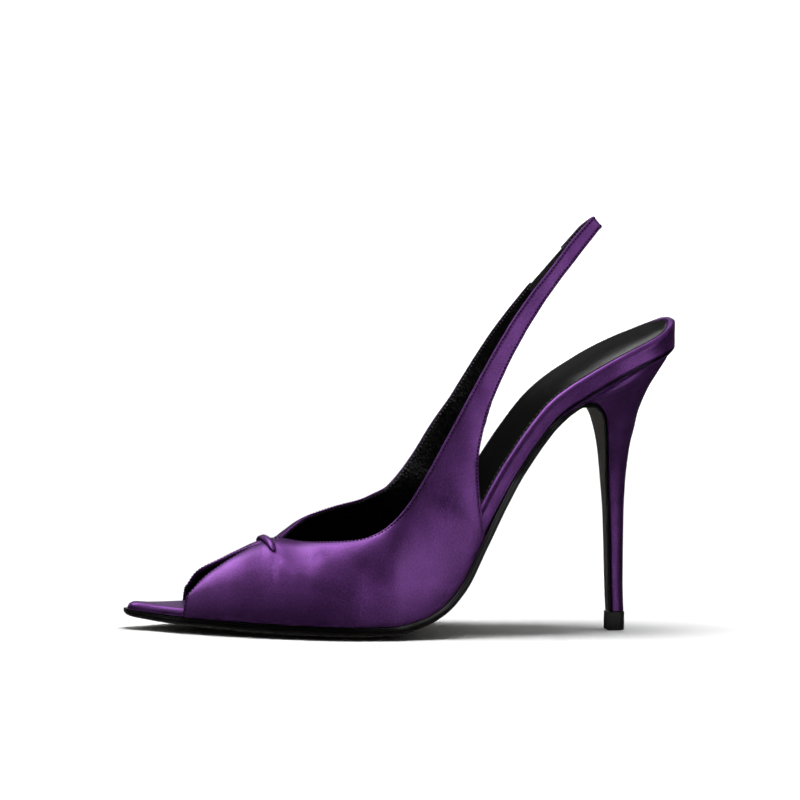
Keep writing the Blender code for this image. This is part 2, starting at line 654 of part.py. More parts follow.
def make_vamp_band():
    """A small rolled band over the vamp, flat beneath, which narrows to its two ends."""
    lateral, medial = upper_columns()
    rings = []
    for i in range(BAND_STEPS + 1):
        share = 2 * i / BAND_STEPS - 1
        centre = band_place(lateral, medial, share)
        low, high = max(share - BAND_SPAN, -1), min(share + BAND_SPAN, 1)
        run = band_place(lateral, medial, high) - band_place(lateral, medial, low)
        run /= np.linalg.norm(run)
        back = band_place(lateral, medial, share, BAND_SHIFT) - band_place(lateral, medial, share, -BAND_SHIFT)
        back -= run * np.dot(back, run)
        back /= np.linalg.norm(back)
        out = np.cross(run, back)
        out *= 1 if out[2] > 0 else -1
        size = math.sqrt(1 - BAND_TAPER * share**4)
        ring = []
        for k in range(BAND_SIDES + 1):
            turn = math.pi * k / BAND_SIDES
            rise = CLEARANCE + BAND_THICKNESS * size * math.sin(turn)
            ring.append(centre + out * rise + back * (BAND_WIDTH / 2 * size * math.cos(turn)))
        rings.append(ring)
    return add_piece("vamp_band", loft(rings), material("band_satin", (0.12, 0.035, 0.19), 0.38))


def make_elastic():
    """A short elastic ribbon between the two medial ends of the strap, a little narrower than them."""
    lateral, medial = upper_columns()
    low, high = medial[-1][:2], lateral[-1][:2]
    rings = []
    for share in np.linspace(0.0, 1.0, ELASTIC_STEPS + 1):
        foot, top = (low[k] + (high[k] - low[k]) * share for k in (0, 1))
        run = (high[0] + high[1] - low[0] - low[1]) / 2
        length = np.linalg.norm(run)
        run /= length
        along_run = run * CLEARANCE * (1 - 2 * share)
        out = np.cross(top - foot, run)
        out /= np.linalg.norm(out)
        out *= 1 if out[1] > 0 else -1
        narrow = (top - foot) * ELASTIC_INSET
        outer, inner = -out * (WALL - ELASTIC_THICKNESS) / 2, -out * (WALL + ELASTIC_THICKNESS) / 2
        corners = [foot + narrow + outer, top - narrow + outer, top - narrow + inner, foot + narrow + inner]
        rings.append([corner + along_run for corner in corners])
    return add_piece("elastic_insert", loft(rings), material("black_elastic", (0.012, 0.012, 0.012), 0.8))


def main():
    for old in list(bpy.data.objects):
        bpy.data.objects.remove(old)
    make_outsole()
    make_insole()
    make_sock_lining()
    make_heel()
    make_top_piece()
    make_upper()
    make_vamp_band()
    make_elastic()


main()
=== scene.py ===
# %% [markdown]
# # A peep toe slingback pump
# The shoe is the left one of a pair: silk satin over a black lining, a padded insole wrapped in the
# same satin, a thin leather sole and a tall covered heel. The solids of the frame hold its sizes.
# This script dresses them. Each step says what the piece is on the real shoe, how it could be made
# in Blender, and why this way was chosen.

# %% Load the frame
import math

import bmesh
import bpy
import numpy as np
from mathutils import Matrix, Vector
from mathutils.kdtree import KDTree


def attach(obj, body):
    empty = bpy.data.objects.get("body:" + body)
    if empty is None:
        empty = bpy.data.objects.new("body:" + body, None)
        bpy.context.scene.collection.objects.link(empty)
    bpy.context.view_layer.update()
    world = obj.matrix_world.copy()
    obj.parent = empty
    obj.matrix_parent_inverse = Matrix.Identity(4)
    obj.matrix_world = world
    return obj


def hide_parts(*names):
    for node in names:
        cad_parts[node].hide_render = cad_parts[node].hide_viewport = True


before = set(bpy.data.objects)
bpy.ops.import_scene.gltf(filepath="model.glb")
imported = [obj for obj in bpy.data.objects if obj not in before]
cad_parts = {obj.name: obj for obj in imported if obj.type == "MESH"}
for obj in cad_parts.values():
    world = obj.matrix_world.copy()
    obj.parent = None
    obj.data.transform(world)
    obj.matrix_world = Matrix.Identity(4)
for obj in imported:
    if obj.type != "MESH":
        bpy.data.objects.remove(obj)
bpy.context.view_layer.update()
print("frame holds", sorted(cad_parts))

# %% [markdown]
# ## The sizes of the last
# A last is the foot-shaped form that a shoe is built over. The frame's solids were lofted from a few
# sizes and short tables, and the same ones are repeated here, so that a finer surface lies where the
# solid lies. Subdividing the solids would be quicker, but it would shrink their crisp edges.

# %% Driving sizes, in metres
LENGTH = 0.2080
BALL_HALF = 0.0710 / 2
SEAT_HALF = 0.0490 / 2
HEEL_HEIGHT = 0.1105
COLLAR_RISE = 0.0630
WALL = 0.0016
SOLE_THICKNESS = 0.0027
TREAD_BULGE = 0.0018
TOE_MARGIN = 0.0010
TOE_MARGIN_FADES = 0.046
INSOLE_THICKNESS = 0.0058
INSOLE_EDGE_RADIUS = 0.0020
INSOLE_CROWN = 0.0006
SOCK_RECESS = 0.0009
SOCK_THICKNESS = 0.0008
SOCK_FIRST = 0.24
UPRIGHT_FROM = 0.9150
SLOPE_REACH = 0.002
SOCK_FRONT_ROUND = 0.012
RAND_WIDTH = 0.0022
TIP_HALF = 0.0070 / 2
TOP_PIECE_HEIGHT = 0.0070
TOP_PIECE_LIP = 0.0003
STRAP_BEND_RADIUS = 0.0032
BAND_WIDTH = 0.0031
BAND_THICKNESS = 0.0017
BAND_ROW, BAND_SWEEP, BAND_REACH = 3.45, 0.45, 0.29
ELASTIC_THICKNESS = 0.0010
ELASTIC_INSET_SHARE = 0.09
CLEARANCE = 0.0003
FEATHER_EASE = 0.0006
SOLE_UNDERCUT = 0.985
SOLE_LEAVES_SEAT = 0.7490
FORE_LEVEL = 1.25 * SOLE_THICKNESS + 0.85 * TREAD_BULGE
HEEL_LOW = TOP_PIECE_HEIGHT + CLEARANCE
MM = 0.001
print("a heel of", HEEL_HEIGHT / MM, "mm under a last of", LENGTH / MM, "mm")


# %% Smooth curves through a table
def table(names, rows):
    """A table as one list for each named column."""
    return {name: [row[i] for row in rows] for i, name in enumerate(names.split())}


def curve(places, values):
    """A smooth function through the values at their places, with no overshoot between them."""
    x, y = np.array(places, float), np.array(values, float)
    step = np.diff(x)
    rise = np.diff(y) / step
    slope = np.zeros_like(y)
    slope[0], slope[-1] = rise[0], rise[-1]
    for i in range(1, len(x) - 1):
        if rise[i - 1] * rise[i] > 0:
            before, after = 2 * step[i] + step[i - 1], step[i] + 2 * step[i - 1]
            slope[i] = (before + after) / (before / rise[i - 1] + after / rise[i])

    def value(place):
        i = np.clip(np.searchsorted(x, place, side="right") - 1, 0, len(step) - 1)
        t = (place - x[i]) / step[i]
        near = (1 + 2 * t) * (1 - t) ** 2 * y[i] + t * t * (3 - 2 * t) * y[i + 1]
        return near + step[i] * t * (1 - t) * ((1 - t) * slope[i] - t * slope[i + 1])

    return value


# %% Table of the last
# The last, a row for each section from the toe tip to the back of the seat.
# at: place along LENGTH. rise: share of the seat's climb to HEEL_HEIGHT. ball and seat: shares of
# the two half widths, which add up. centre: centre line towards the medial side, share of the ball's
# half width. board: share of INSOLE_THICKNESS. sole, bulge: shares of SOLE_THICKNESS and TREAD_BULGE.
# ledge: how much of the upper's wall the outsole stands out for. sock: depth of the sock's bed.
LAST = table(
    "at rise ball seat centre board sole bulge ledge sock",
    [
        (0.0000, 0.0200, 0.017, 0.000, 0.197, 0.14, 0.20, 0.05, 0.50, 0.00),
        (0.0024, 0.0200, 0.048, 0.000, 0.197, 0.30, 0.40, 0.12, 0.50, 0.00),
        (0.0070, 0.0195, 0.080, 0.000, 0.194, 0.43, 0.58, 0.20, 0.50, 0.00),
        (0.0190, 0.0180, 0.130, 0.000, 0.186, 0.51, 0.70, 0.30, 0.55, 0.00),
        (0.0460, 0.0130, 0.222, 0.000, 0.167, 0.52, 0.80, 0.40, 0.75, 0.00),
        (0.0840, 0.0095, 0.372, 0.000, 0.141, 0.52, 0.88, 0.60, 1.00, 0.00),
        (0.1420, 0.0080, 0.558, 0.000, 0.096, 0.52, 1.00, 0.90, 1.00, 0.00),
        (0.2140, 0.0050, 0.755, 0.000, 0.056, 0.52, 1.20, 1.15, 1.00, 1.00),
        (0.2860, 0.0020, 0.899, 0.000, 0.028, 0.52, 1.25, 1.10, 1.00, 1.00),
        (0.3820, 0.0000, 1.000, 0.000, 0.000, 0.52, 1.25, 1.00, 1.00, 1.00),
        (0.4540, 0.0030, 0.975, 0.000, -0.011, 0.54, 1.20, 1.15, 1.00, 1.00),
        (0.5070, 0.0250, 0.800, 0.130, -0.022, 0.60, 1.06, 0.60, 1.00, 1.00),
        (0.5460, 0.0625, 0.640, 0.256, -0.028, 0.70, 1.00, 0.30, 1.00, 1.00),
        (0.5840, 0.1430, 0.480, 0.407, -0.028, 0.84, 1.00, 0.20, 1.00, 1.00),
        (0.6230, 0.2945, 0.320, 0.557, -0.028, 0.95, 1.00, 0.20, 1.00, 1.00),
        (0.6610, 0.4395, 0.160, 0.727, -0.028, 1.00, 1.00, 0.20, 0.45, 1.00),
        (0.6950, 0.5550, 0.000, 0.918, -0.028, 1.00, 1.00, 0.20, 0.00, 1.00),
        (0.7310, 0.6600, 0.000, 0.910, -0.022, 1.00, 1.00, 0.20, 0.00, 1.00),
        (0.7670, 0.7480, 0.000, 0.918, -0.014, 1.00, 1.00, 0.20, 0.00, 1.00),
        (0.8030, 0.8060, 0.000, 0.955, 0.000, 1.00, 1.00, 0.20, 0.00, 1.00),
        (0.8390, 0.8510, 0.000, 0.985, 0.000, 1.00, 1.00, 0.20, 0.00, 1.00),
        (0.8760, 0.8940, 0.000, 1.000, 0.000, 1.00, 1.00, 0.20, 0.00, 1.00),
        (0.9150, 0.9320, 0.000, 0.971, 0.000, 1.02, 1.00, 0.20, 0.00, 1.00),
        (0.9400, 0.9530, 0.000, 0.915, 0.000, 1.06, 1.00, 0.20, 0.00, 1.00),
        (0.9690, 0.9760, 0.000, 0.760, 0.000, 1.20, 1.00, 0.20, 0.00, 1.00),
        (0.9835, 0.9875, 0.000, 0.585, 0.000, 1.34, 1.00, 0.20, 0.00, 1.00),
        (0.9900, 0.9925, 0.000, 0.470, 0.000, 1.43, 1.00, 0.20, 0.00, 0.00),
        (0.9965, 0.9975, 0.000, 0.280, 0.000, 1.45, 1.00, 0.20, 0.00, 0.00),
        (1.0000, 1.0000, 0.000, 0.080, 0.000, 1.24, 1.00, 0.20, 0.00, 0.00),
    ],
)
LAST_CURVES = {name: curve(LAST["at"], values) for name, values in LAST.items() if name != "at"}

# %% Table of the heel's breast
# The breast, where the sole leaves the seat and runs down the front of the heel, with the heel's
# back opposite each row. up, back_up: shares of the climb from the top piece to HEEL_HEIGHT.
# wide: share of the way from the tip's half width to the seat's. sole: share of SOLE_THICKNESS.
BREAST = table(
    "at up wide sole back_at back_up",
    [
        (0.7680, 0.7350, 0.895, 0.92, 0.9970, 0.985),
        (0.7880, 0.7650, 0.895, 0.80, 0.9875, 0.943),
        (0.8125, 0.7870, 0.868, 0.65, 0.9700, 0.887),
        (0.8340, 0.7825, 0.766, 0.50, 0.9560, 0.841),
        (0.8525, 0.7580, 0.617, 0.42, 0.9440, 0.788),
        (0.8630, 0.7230, 0.498, 0.38, 0.9345, 0.734),
        (0.8690, 0.6705, 0.345, 0.37, 0.9290, 0.676),
        (0.8735, 0.6075, 0.220, 0.37, 0.9225, 0.615),
        (0.8780, 0.4910, 0.091, 0.37, 0.9160, 0.491),
        (0.8830, 0.3650, 0.029, 0.37, 0.9140, 0.365),
        (0.8865, 0.2200, 0.010, 0.37, 0.9145, 0.220),
        (0.8890, 0.1035, 0.005, 0.37, 0.9154, 0.103),
        (0.8920, 0.0000, 0.000, 0.37, 0.9180, 0.000),
    ],
)

# %% Tables of the upper
# The upper's sections, a row for each column of the wall, from the peep toe back to the strap.
# foot_at: place on the feather edge, or, with foot_over and foot_out, on the quarter's rear edge.
# over: height over the seat line, share of COLLAR_RISE. out: share of the ball's half width.
# full: 0 for a flat wall, 1 for a round one. swell: share of the ball's half width, at mid height.
ON_FEATHER = None
COLUMNS = "foot_at foot_over foot_out top_at top_over top_out full swell"


def wall_table(rows):
    """A table of the wall, in which rows on the feather edge leave out foot_over and foot_out."""
    return table(COLUMNS, [r if len(r) == 8 else (r[0], ON_FEATHER, ON_FEATHER, *r[1:]) for r in rows])


LATERAL = wall_table(
    [
        (0.0845, 0.0965, 0.141, 0.268, 0.90, 0.010),
        (0.1225, 0.1305, 0.256, 0.242, 1.00, 0.020),
        (0.1780, 0.1900, 0.380, 0.163, 1.00, 0.030),
        (0.2235, 0.2380, 0.448, 0.000, 1.00, 0.030),
        (0.2430, 0.2565, 0.468, 0.000, 1.00, 0.030),
        (0.2600, 0.2735, 0.478, 0.000, 1.00, 0.030),
        (0.2830, 0.3040, 0.472, 0.190, 0.98, 0.030),
        (0.3075, 0.3340, 0.483, 0.423, 0.95, 0.030),
        (0.3580, 0.3995, 0.513, 0.676, 0.85, 0.030),
        (0.4210, 0.4280, 0.554, 0.746, 0.75, 0.030),
        (0.4830, 0.4520, 0.612, 0.786, 0.78, 0.035),
        (0.5410, 0.4690, 0.663, 0.803, 0.75, 0.040),
        (0.5910, 0.4835, 0.713, 0.811, 0.65, 0.045),
        (0.6290, 0.4985, 0.779, 0.817, 0.40, 0.050),
        (0.6190, 0.267, 0.789, 0.5205, 0.879, 0.806, 0.05, 0.040),
        (0.6130, 0.552, 0.789, 0.5580, 1.022, 0.766, 0.00, 0.025),
        (0.6270, 0.711, 0.747, 0.5975, 1.073, 0.704, 0.00, 0.010),
        (0.6660, 0.760, 0.628, 0.6360, 1.024, 0.620, 0.00, 0.000),
        (0.7020, 0.768, 0.532, 0.6755, 0.984, 0.530, 0.00, 0.000),
        (0.7380, 0.765, 0.431, 0.7155, 0.940, 0.428, 0.00, 0.000),
        (0.7745, 0.779, 0.335, 0.7550, 0.914, 0.332, 0.00, 0.000),
        (0.8140, 0.830, 0.230, 0.7950, 0.948, 0.225, 0.00, 0.000),
        (0.8540, 0.893, 0.110, 0.8370, 0.995, 0.105, 0.00, 0.000),
    ],
)
MEDIAL = wall_table(
    [
        (0.1200, 0.1190, 0.138, 0.493, 0.90, 0.010),
        (0.1420, 0.1360, 0.240, 0.380, 1.00, 0.020),
        (0.1820, 0.1775, 0.334, 0.211, 1.00, 0.030),
        (0.2235, 0.2380, 0.448, 0.000, 1.00, 0.030),
        (0.2430, 0.2565, 0.468, 0.000, 1.00, 0.030),
        (0.2600, 0.2735, 0.478, 0.000, 1.00, 0.030),
        (0.2830, 0.2980, 0.525, 0.120, 0.98, 0.030),
        (0.3075, 0.3340, 0.587, 0.296, 0.95, 0.030),
        (0.3580, 0.3970, 0.643, 0.493, 0.85, 0.030),
        (0.4210, 0.4470, 0.672, 0.634, 0.75, 0.030),
        (0.4830, 0.4735, 0.697, 0.693, 0.78, 0.035),
        (0.5410, 0.4930, 0.711, 0.724, 0.75, 0.040),
        (0.5910, 0.5110, 0.749, 0.746, 0.65, 0.045),
        (0.6330, 0.5290, 0.794, 0.766, 0.40, 0.050),
        (0.6245, 0.250, 0.760, 0.5480, 0.845, 0.783, 0.05, 0.040),
        (0.6245, 0.465, 0.775, 0.5765, 0.906, 0.780, 0.00, 0.025),
        (0.6430, 0.538, 0.760, 0.6130, 0.873, 0.747, 0.00, 0.010),
        (0.6735, 0.571, 0.704, 0.6470, 0.844, 0.699, 0.00, 0.000),
        (0.7080, 0.616, 0.586, 0.6820, 0.838, 0.589, 0.00, 0.000),
        (0.7400, 0.654, 0.462, 0.7150, 0.840, 0.462, 0.00, 0.000),
        (0.7635, 0.705, 0.349, 0.7430, 0.849, 0.349, 0.00, 0.000),
    ],
)
# The strap's medial end, from the back bend down to the elastic
STRAP_TAIL = wall_table(
    [
        (0.8400, 0.860, -0.120, 0.8220, 0.960, -0.120, 0.00, 0.000),
        (0.8100, 0.794, -0.186, 0.7920, 0.903, -0.186, 0.00, 0.000),
    ],
)
FIRST_BRIDGE_ROW = 3
LAST_BRIDGE_ROW = 5
LAST_FEATHER_ROW = 13
print("upper:", len(LATERAL["full"]), "lateral and", len(MEDIAL["full"]), "medial sections")


# %% The seat line and the widths round it
def along(at):
    """X of a place along the last."""
    return TOE_MARGIN / 2 + (at - 0.5) * LENGTH


def seat_height(at):
    """Height of the seat line, on which the insole lies."""
    return FORE_LEVEL + LAST_CURVES["rise"](at) * (HEEL_HEIGHT - FORE_LEVEL)


def seat_point(at):
    """A place on the seat line."""
    return np.array([along(at), 0.0, seat_height(at)])


def seat_normal(at):
    """The direction square to the seat line, up into the shoe."""
    run = seat_point(min(at + SLOPE_REACH, 1.0)) - seat_point(max(at - SLOPE_REACH, 0.0))
    return np.array([-run[2], 0.0, run[0]]) / math.hypot(run[0], run[2])


def board_normal(at):
    """The direction in which the insole is thick: square to the seat, but upright at the very back."""
    share = max(0.0, (at - UPRIGHT_FROM) / (1 - UPRIGHT_FROM))
    lean = seat_normal(at) * (1 - share) + np.array([0.0, 0.0, share])
    return lean / np.linalg.norm(lean)


def half_width(at):
    """Half the width of the last at its feather edge."""
    return LAST_CURVES["ball"](at) * BALL_HALF + LAST_CURVES["seat"](at) * SEAT_HALF


def centre_line(at):
    """How far the last's centre line lies towards the medial side."""
    return LAST_CURVES["centre"](at) * BALL_HALF


print("seat line climbs to", round(seat_height(1.0) / MM, 1), "mm")

# %% [markdown]
# ## Colours and the one node helper
# Colours are read from the real materials as sRGB hex codes. A shader works in linear light, so one
# function turns them. Every material below is a small tree of nodes, and one helper adds a node with
# its settings and its links, which keeps each tree short enough to read.


# %% Colour and node helpers
def colour(code):
    """An sRGB hex colour as the linear colour that a shader takes."""
    parts = [int(code[i : i + 2], 16) / 255 for i in (1, 3, 5)]
    return (*[c / 12.92 if c <= 0.04045 else ((c + 0.055) / 1.055) ** 2.4 for c in parts], 1.0)


def fill(tree, node, sockets):
    """Gives a node's sockets their values, or links them to other nodes' outputs."""
    for key, value in dict(sockets).items():
        if isinstance(value, bpy.types.NodeSocket):
            tree.links.new(value, node.inputs[key])
        else:
            node.inputs[key].default_value = value


def add(tree, kind, sockets=(), settings=()):
    """Adds a node, sets its settings, fills its sockets, and gives back its outputs."""
    node = tree.nodes.new(kind)
    for name, value in dict(settings).items():
        setattr(node, name, value)
    fill(tree, node, sockets)
    return node.outputs


def new_finish(name):
    """A material with its node tree and its Principled shader."""
    finish = bpy.data.materials.new(name)
    finish.use_nodes = True
    return finish, finish.node_tree, finish.node_tree.nodes["Principled BSDF"]


# The setting that makes a mix node mix colours
MIX_COLOURS = {"data_type": "RGBA"}
print("violet in linear light:", [round(c, 3) for c in colour("#763f8f")])

# %% [markdown]
# ## Silk satin
# Satin's long floats of thread lie side by side, so it shines in a broad, coloured sweep and not in a
# sharp white spot. Colouring the specular light is what a metallic shader does, so the satin is partly
# metallic, with a middling roughness that is stretched across the threads by anisotropy. The weave is
# 0.05 mm, far too fine to show, so its grain is drawn about ten times as coarse. A slow cloud over the
# grain stands for the way in which silk never takes its dye quite evenly.

# %% Satin
# Sizes in metres: the grain is 0.55 mm, and the cloud 11 mm
SATIN_GRAIN = 0.00055
SATIN_CLOUD = 1 / 90


def violet_silk_satin():
    """Woven silk: a dark violet body, a lilac sweep of light, and a faint mottle along the threads."""
    finish, tree, shader = new_finish("violet_silk_satin")
    cloth = add(tree, "ShaderNodeUVMap", (), {"uv_map": "cloth"})
    place = add(tree, "ShaderNodeTexCoord")
    stretched = add(tree, "ShaderNodeMapping", {"Vector": cloth["UV"], "Scale": (1.0, 0.55, 1.0)})
    grain_look = {"Vector": stretched["Vector"], "Scale": 1 / SATIN_GRAIN, "Detail": 5.0, "Roughness": 0.7}
    grain = add(tree, "ShaderNodeTexNoise", grain_look)
    cloud_look = {"Vector": place["Object"], "Scale": 1 / SATIN_CLOUD, "Detail": 2.0, "Roughness": 0.5}
    cloud = add(tree, "ShaderNodeTexNoise", cloud_look)
    channel = add(tree, "ShaderNodeAttribute", (), {"attribute_name": "painted_recess_shade"})
    mottle = add(tree, "ShaderNodeMath", {0: grain["Fac"], 1: 2.4, 2: -1.2}, {"operation": "MULTIPLY_ADD"})
    clamped_sum = {"operation": "ADD", "use_clamp": True}
    patches = add(tree, "ShaderNodeMath", {0: cloud["Fac"], 1: mottle["Value"]}, clamped_sum)
    violets = {"Factor": patches["Value"], "A": colour("#4d2260"), "B": colour("#763f8f")}
    body = add(tree, "ShaderNodeMix", violets, MIX_COLOURS)
    # Painted shade: the satin darkens towards near black in its stitch channels and in the heel's rebate
    channel_and_rebate_shade = {"Factor": channel["Fac"], "A": body["Result"], "B": colour("#0c0312")}
    shaded = add(tree, "ShaderNodeMix", channel_and_rebate_shade, MIX_COLOURS)
    gloss = {"Value": grain["Fac"], "From Min": 0.3, "From Max": 0.7, "To Min": 0.27, "To Max": 0.43}
    rough = add(tree, "ShaderNodeMapRange", gloss)
    ripple = add(tree, "ShaderNodeBump", {"Height": cloud["Fac"], "Strength": 0.5, "Distance": 0.0005})
    threads = {"Height": grain["Fac"], "Strength": 0.9, "Distance": 0.00014, "Normal": ripple["Normal"]}
    relief = add(tree, "ShaderNodeBump", threads)
    thread_run = add(tree, "ShaderNodeTangent", (), {"direction_type": "UV_MAP", "uv_map": "cloth"})
    look = {
        "Base Color": shaded["Result"],
        "Roughness": rough["Result"],
        "Normal": relief["Normal"],
        "Tangent": thread_run["Tangent"],
        "Metallic": 0.80,
        "Anisotropic": 0.35,
        "Specular Tint": colour("#a982c0"),
        "Coat Weight": 0.35,
        "Coat Roughness": 0.42,
        "Sheen Weight": 0.06,
        "Sheen Roughness": 0.35,
        "Sheen Tint": colour("#b98ad6"),
    }
    fill(tree, shader, look)
    return finish


SATIN = violet_silk_satin()
print("made", SATIN.name)

# %% [markdown]
# ## Leathers, rubber, elastic and thread
# The lining is a grained kid leather, whose pebbles catch small points of light. The sock inside is a
# smooth nappa with a soft shine. The sole is a lacquered leather with a painted edge. All are nearly
# black, so what tells them apart is their relief and their gloss, and each gets its own. Grain finer
# than 0.3 mm wouldn't show at the picture's size, so it is drawn that coarse.

# %% Plain black materials
PEBBLE = 0.0011
SOLE_FIBRE = 0.0006


def relief_finish(name, dark, light, rough, height, scale, settings=()):
    """A material whose colour, gloss and bump all come from one noise at a real size."""
    finish, tree, shader = new_finish(name)
    place = add(tree, "ShaderNodeTexCoord")
    grain_look = {"Vector": place["Object"], "Scale": 1 / scale, "Detail": 4.0, "Roughness": 0.55}
    grain = add(tree, "ShaderNodeTexNoise", grain_look)["Fac"]
    shade = add(tree, "ShaderNodeMix", {"Factor": grain, "A": colour(dark), "B": colour(light)}, MIX_COLOURS)
    gloss = add(tree, "ShaderNodeMapRange", {"Value": grain, "To Min": rough - 0.08, "To Max": rough + 0.08})
    bump = add(tree, "ShaderNodeBump", {"Height": grain, "Strength": 0.6, "Distance": height})
    look = {"Base Color": shade["Result"], "Roughness": gloss["Result"], "Normal": bump["Normal"]}
    fill(tree, shader, look | dict(settings))
    return finish


def pebbled_kid():
    """Lining leather: rounded pebbles a millimetre across, with painted sheen on their tops and painted
    shade between them.
    """
    finish, tree, shader = new_finish("black_pebbled_kid")
    place = add(tree, "ShaderNodeTexCoord")
    cell_look = {"Vector": place["Object"], "Scale": 1 / PEBBLE, "Smoothness": 0.4}
    cells = add(tree, "ShaderNodeTexVoronoi", cell_look, {"feature": "SMOOTH_F1"})
    dome_range = {"Value": cells["Distance"], "From Max": 0.8, "To Min": 1.0, "To Max": 0.0}
    domes = add(tree, "ShaderNodeMapRange", dome_range)["Result"]
    # Painted sheen and shade: the pebbles' tops are coloured lighter and their hollows darker
    pebble_sheen_and_shade = {"Factor": domes, "A": colour("#070607"), "B": colour("#171517")}
    shade = add(tree, "ShaderNodeMix", pebble_sheen_and_shade, MIX_COLOURS)
    bump = add(tree, "ShaderNodeBump", {"Height": domes, "Strength": 0.9, "Distance": 0.00026})
    fill(tree, shader, {"Base Color": shade["Result"], "Normal": bump["Normal"], "Roughness": 0.33})
    return finish


def lacquered_sole():
    """Sole leather: a grey-black lacquer below, and a glossy black paint round the edge."""
    finish, tree, shader = new_finish("lacquered_sole_leather")
    place = add(tree, "ShaderNodeTexCoord")
    fibre_look = {"Vector": place["Object"], "Scale": 1 / SOLE_FIBRE, "Detail": 5.0, "Roughness": 0.6}
    fibre = add(tree, "ShaderNodeTexNoise", fibre_look)
    painted = add(tree, "ShaderNodeAttribute", (), {"attribute_name": "painted"})["Fac"]
    lacquer_and_paint = {"Factor": painted, "A": colour("#585550"), "B": colour("#050405")}
    shade = add(tree, "ShaderNodeMix", lacquer_and_paint, MIX_COLOURS)
    gloss = add(tree, "ShaderNodeMapRange", {"Value": painted, "To Min": 0.5, "To Max": 0.3})
    bump = add(tree, "ShaderNodeBump", {"Height": fibre["Fac"], "Strength": 0.3, "Distance": 0.00005})
    look = {"Base Color": shade["Result"], "Roughness": gloss["Result"], "Normal": bump["Normal"]}
    fill(tree, shader, look | {"Specular IOR Level": 0.28})
    return finish


LINING = pebbled_kid()
SOLE = lacquered_sole()
# Nappa with a dry, waxed face: a soft grey shine where it turns up to the light, and no sparkle
DRY_FACE = {"Specular IOR Level": 0.06}
NAPPA = relief_finish("black_nappa_sock", "#050505", "#0a0a0a", 0.30, 0.00003, 0.0005, DRY_FACE)
# Moulded hard rubber: flat black with a broad dull highlight on its bevels
RUBBER = relief_finish("black_rubber_top_piece", "#0a0a0a", "#141414", 0.58, 0.00004, 0.0004)
# Woven elastic: matt, with a faint fuzz of light at its edges
FUZZ = {"Sheen Weight": 0.3}
KNIT = relief_finish("black_elastic_knit", "#09090a", "#161618", 0.75, 0.00006, 0.0003, FUZZ)
# Sewing thread: a dark violet one that reads as a dotted line, and a grey one on the black sock
DULL = {"Specular IOR Level": 0.12}
THREAD = relief_finish("violet_polyester_thread", "#08020c", "#130819", 0.6, 0.00003, 0.0003, DULL)
SOCK_THREAD = relief_finish("grey_polyester_thread", "#4c4a4e", "#7b787f", 0.5, 0.00003, 0.0003)
print("made", [m.name for m in (LINING, SOLE, NAPPA, RUBBER, KNIT, THREAD, SOCK_THREAD)])

# %% [markdown]
# ## Finishing a piece
# Every piece ends in the same way: its faces are smooth-shaded, it rides on the shoe's one body, and the
# frame's solids that it stands for are hidden.


# %% Mesh and piece helpers
def new_piece(name, points, faces, finish, corner_uvs=None, shares=(), sharp=50.0):
    """An object at the origin from points and faces, with its cloth map and its named point shares."""
    mesh = bpy.data.meshes.new(name)
    mesh.from_pydata([tuple(p) for p in points], [], [tuple(int(i) for i in face) for face in faces])
    mesh.materials.append(finish)
    mesh.shade_smooth()
    mesh.set_sharp_from_angle(angle=math.radians(sharp))
    if corner_uvs is not None:
        layer = mesh.uv_layers.new(name="cloth")
        layer.data.foreach_set("uv", np.array(corner_uvs, np.float32).ravel())
    for label, values in dict(shares).items():
        attribute = mesh.attributes.new(label, "FLOAT", "POINT")
        attribute.data.foreach_set("value", np.array(values, np.float32))
    piece = bpy.data.objects.new(name, mesh)
    bpy.context.scene.collection.objects.link(piece)
    return piece


def settle(piece, slot, *nodes):
    """The piece rides on the shoe and stands for these solids; slot is not used."""
    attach(piece, "root")
    if nodes:
        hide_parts(*nodes)
    print(piece.name, len(piece.data.loops) - 2 * len(piece.data.polygons), "triangles")
    return piece


def loft(name, rings, finish, shares=(), sharp=50.0):
    """A closed form through rings of as many points, with its cloth map in metres along and round it."""
    rings = np.array(rings)
    count, size = rings.shape[:2]
    ahead = np.linalg.norm(np.diff(rings.mean(axis=1), axis=0), axis=1)
    ahead = np.concatenate([[0], np.cumsum(ahead)])
    closed = np.concatenate([rings, rings[:, :1]], axis=1)
    round_it = np.linalg.norm(np.diff(closed, axis=1), axis=2)
    round_it = np.concatenate([np.zeros((count, 1)), np.cumsum(round_it, axis=1)], axis=1)
    faces, uvs = [], []
    for i in range(count - 1):
        for j in range(size):
            k = (j + 1) % size
            faces.append((i * size + j, i * size + k, (i + 1) * size + k, (i + 1) * size + j))
            uvs += [(ahead[i], round_it[i, j]), (ahead[i], round_it[i, j + 1])]
            uvs += [(ahead[i + 1], round_it[i + 1, j + 1]), (ahead[i + 1], round_it[i + 1, j])]
    for face, ring in ((range(size), 0), (range((count - 1) * size, count * size), count - 1)):
        faces.append(tuple(face))
        uvs += [(ahead[ring], round_it[ring, j]) for j in range(size)]
    piece = new_piece(name, rings.reshape(-1, 3), faces, finish, uvs, shares, sharp)
    turn_outwards(piece.data)
    return piece


def turn_outwards(mesh):
    """Turns the faces of a closed mesh to point out of it."""
    form = bmesh.new()
    form.from_mesh(mesh)
    bmesh.ops.recalc_face_normals(form, faces=form.faces[:])
    if form.calc_volume(signed=True) < 0:
        bmesh.ops.reverse_faces(form, faces=form.faces[:])
    form.to_mesh(mesh)
    form.free()


# %% [markdown]
# ## The upper's surface
# The upper is one piece of satin pulled over the last, turned in round its openings and stitched down
# 0.9 mm from each edge. A wall like this could be sculpted or subdivided. Here it is lofted through
# columns, from the feather edge, where it meets the sole, up to the topline. The columns' points lie
# closer together near each free edge, so that the turned edge and the stitched channel are real relief.

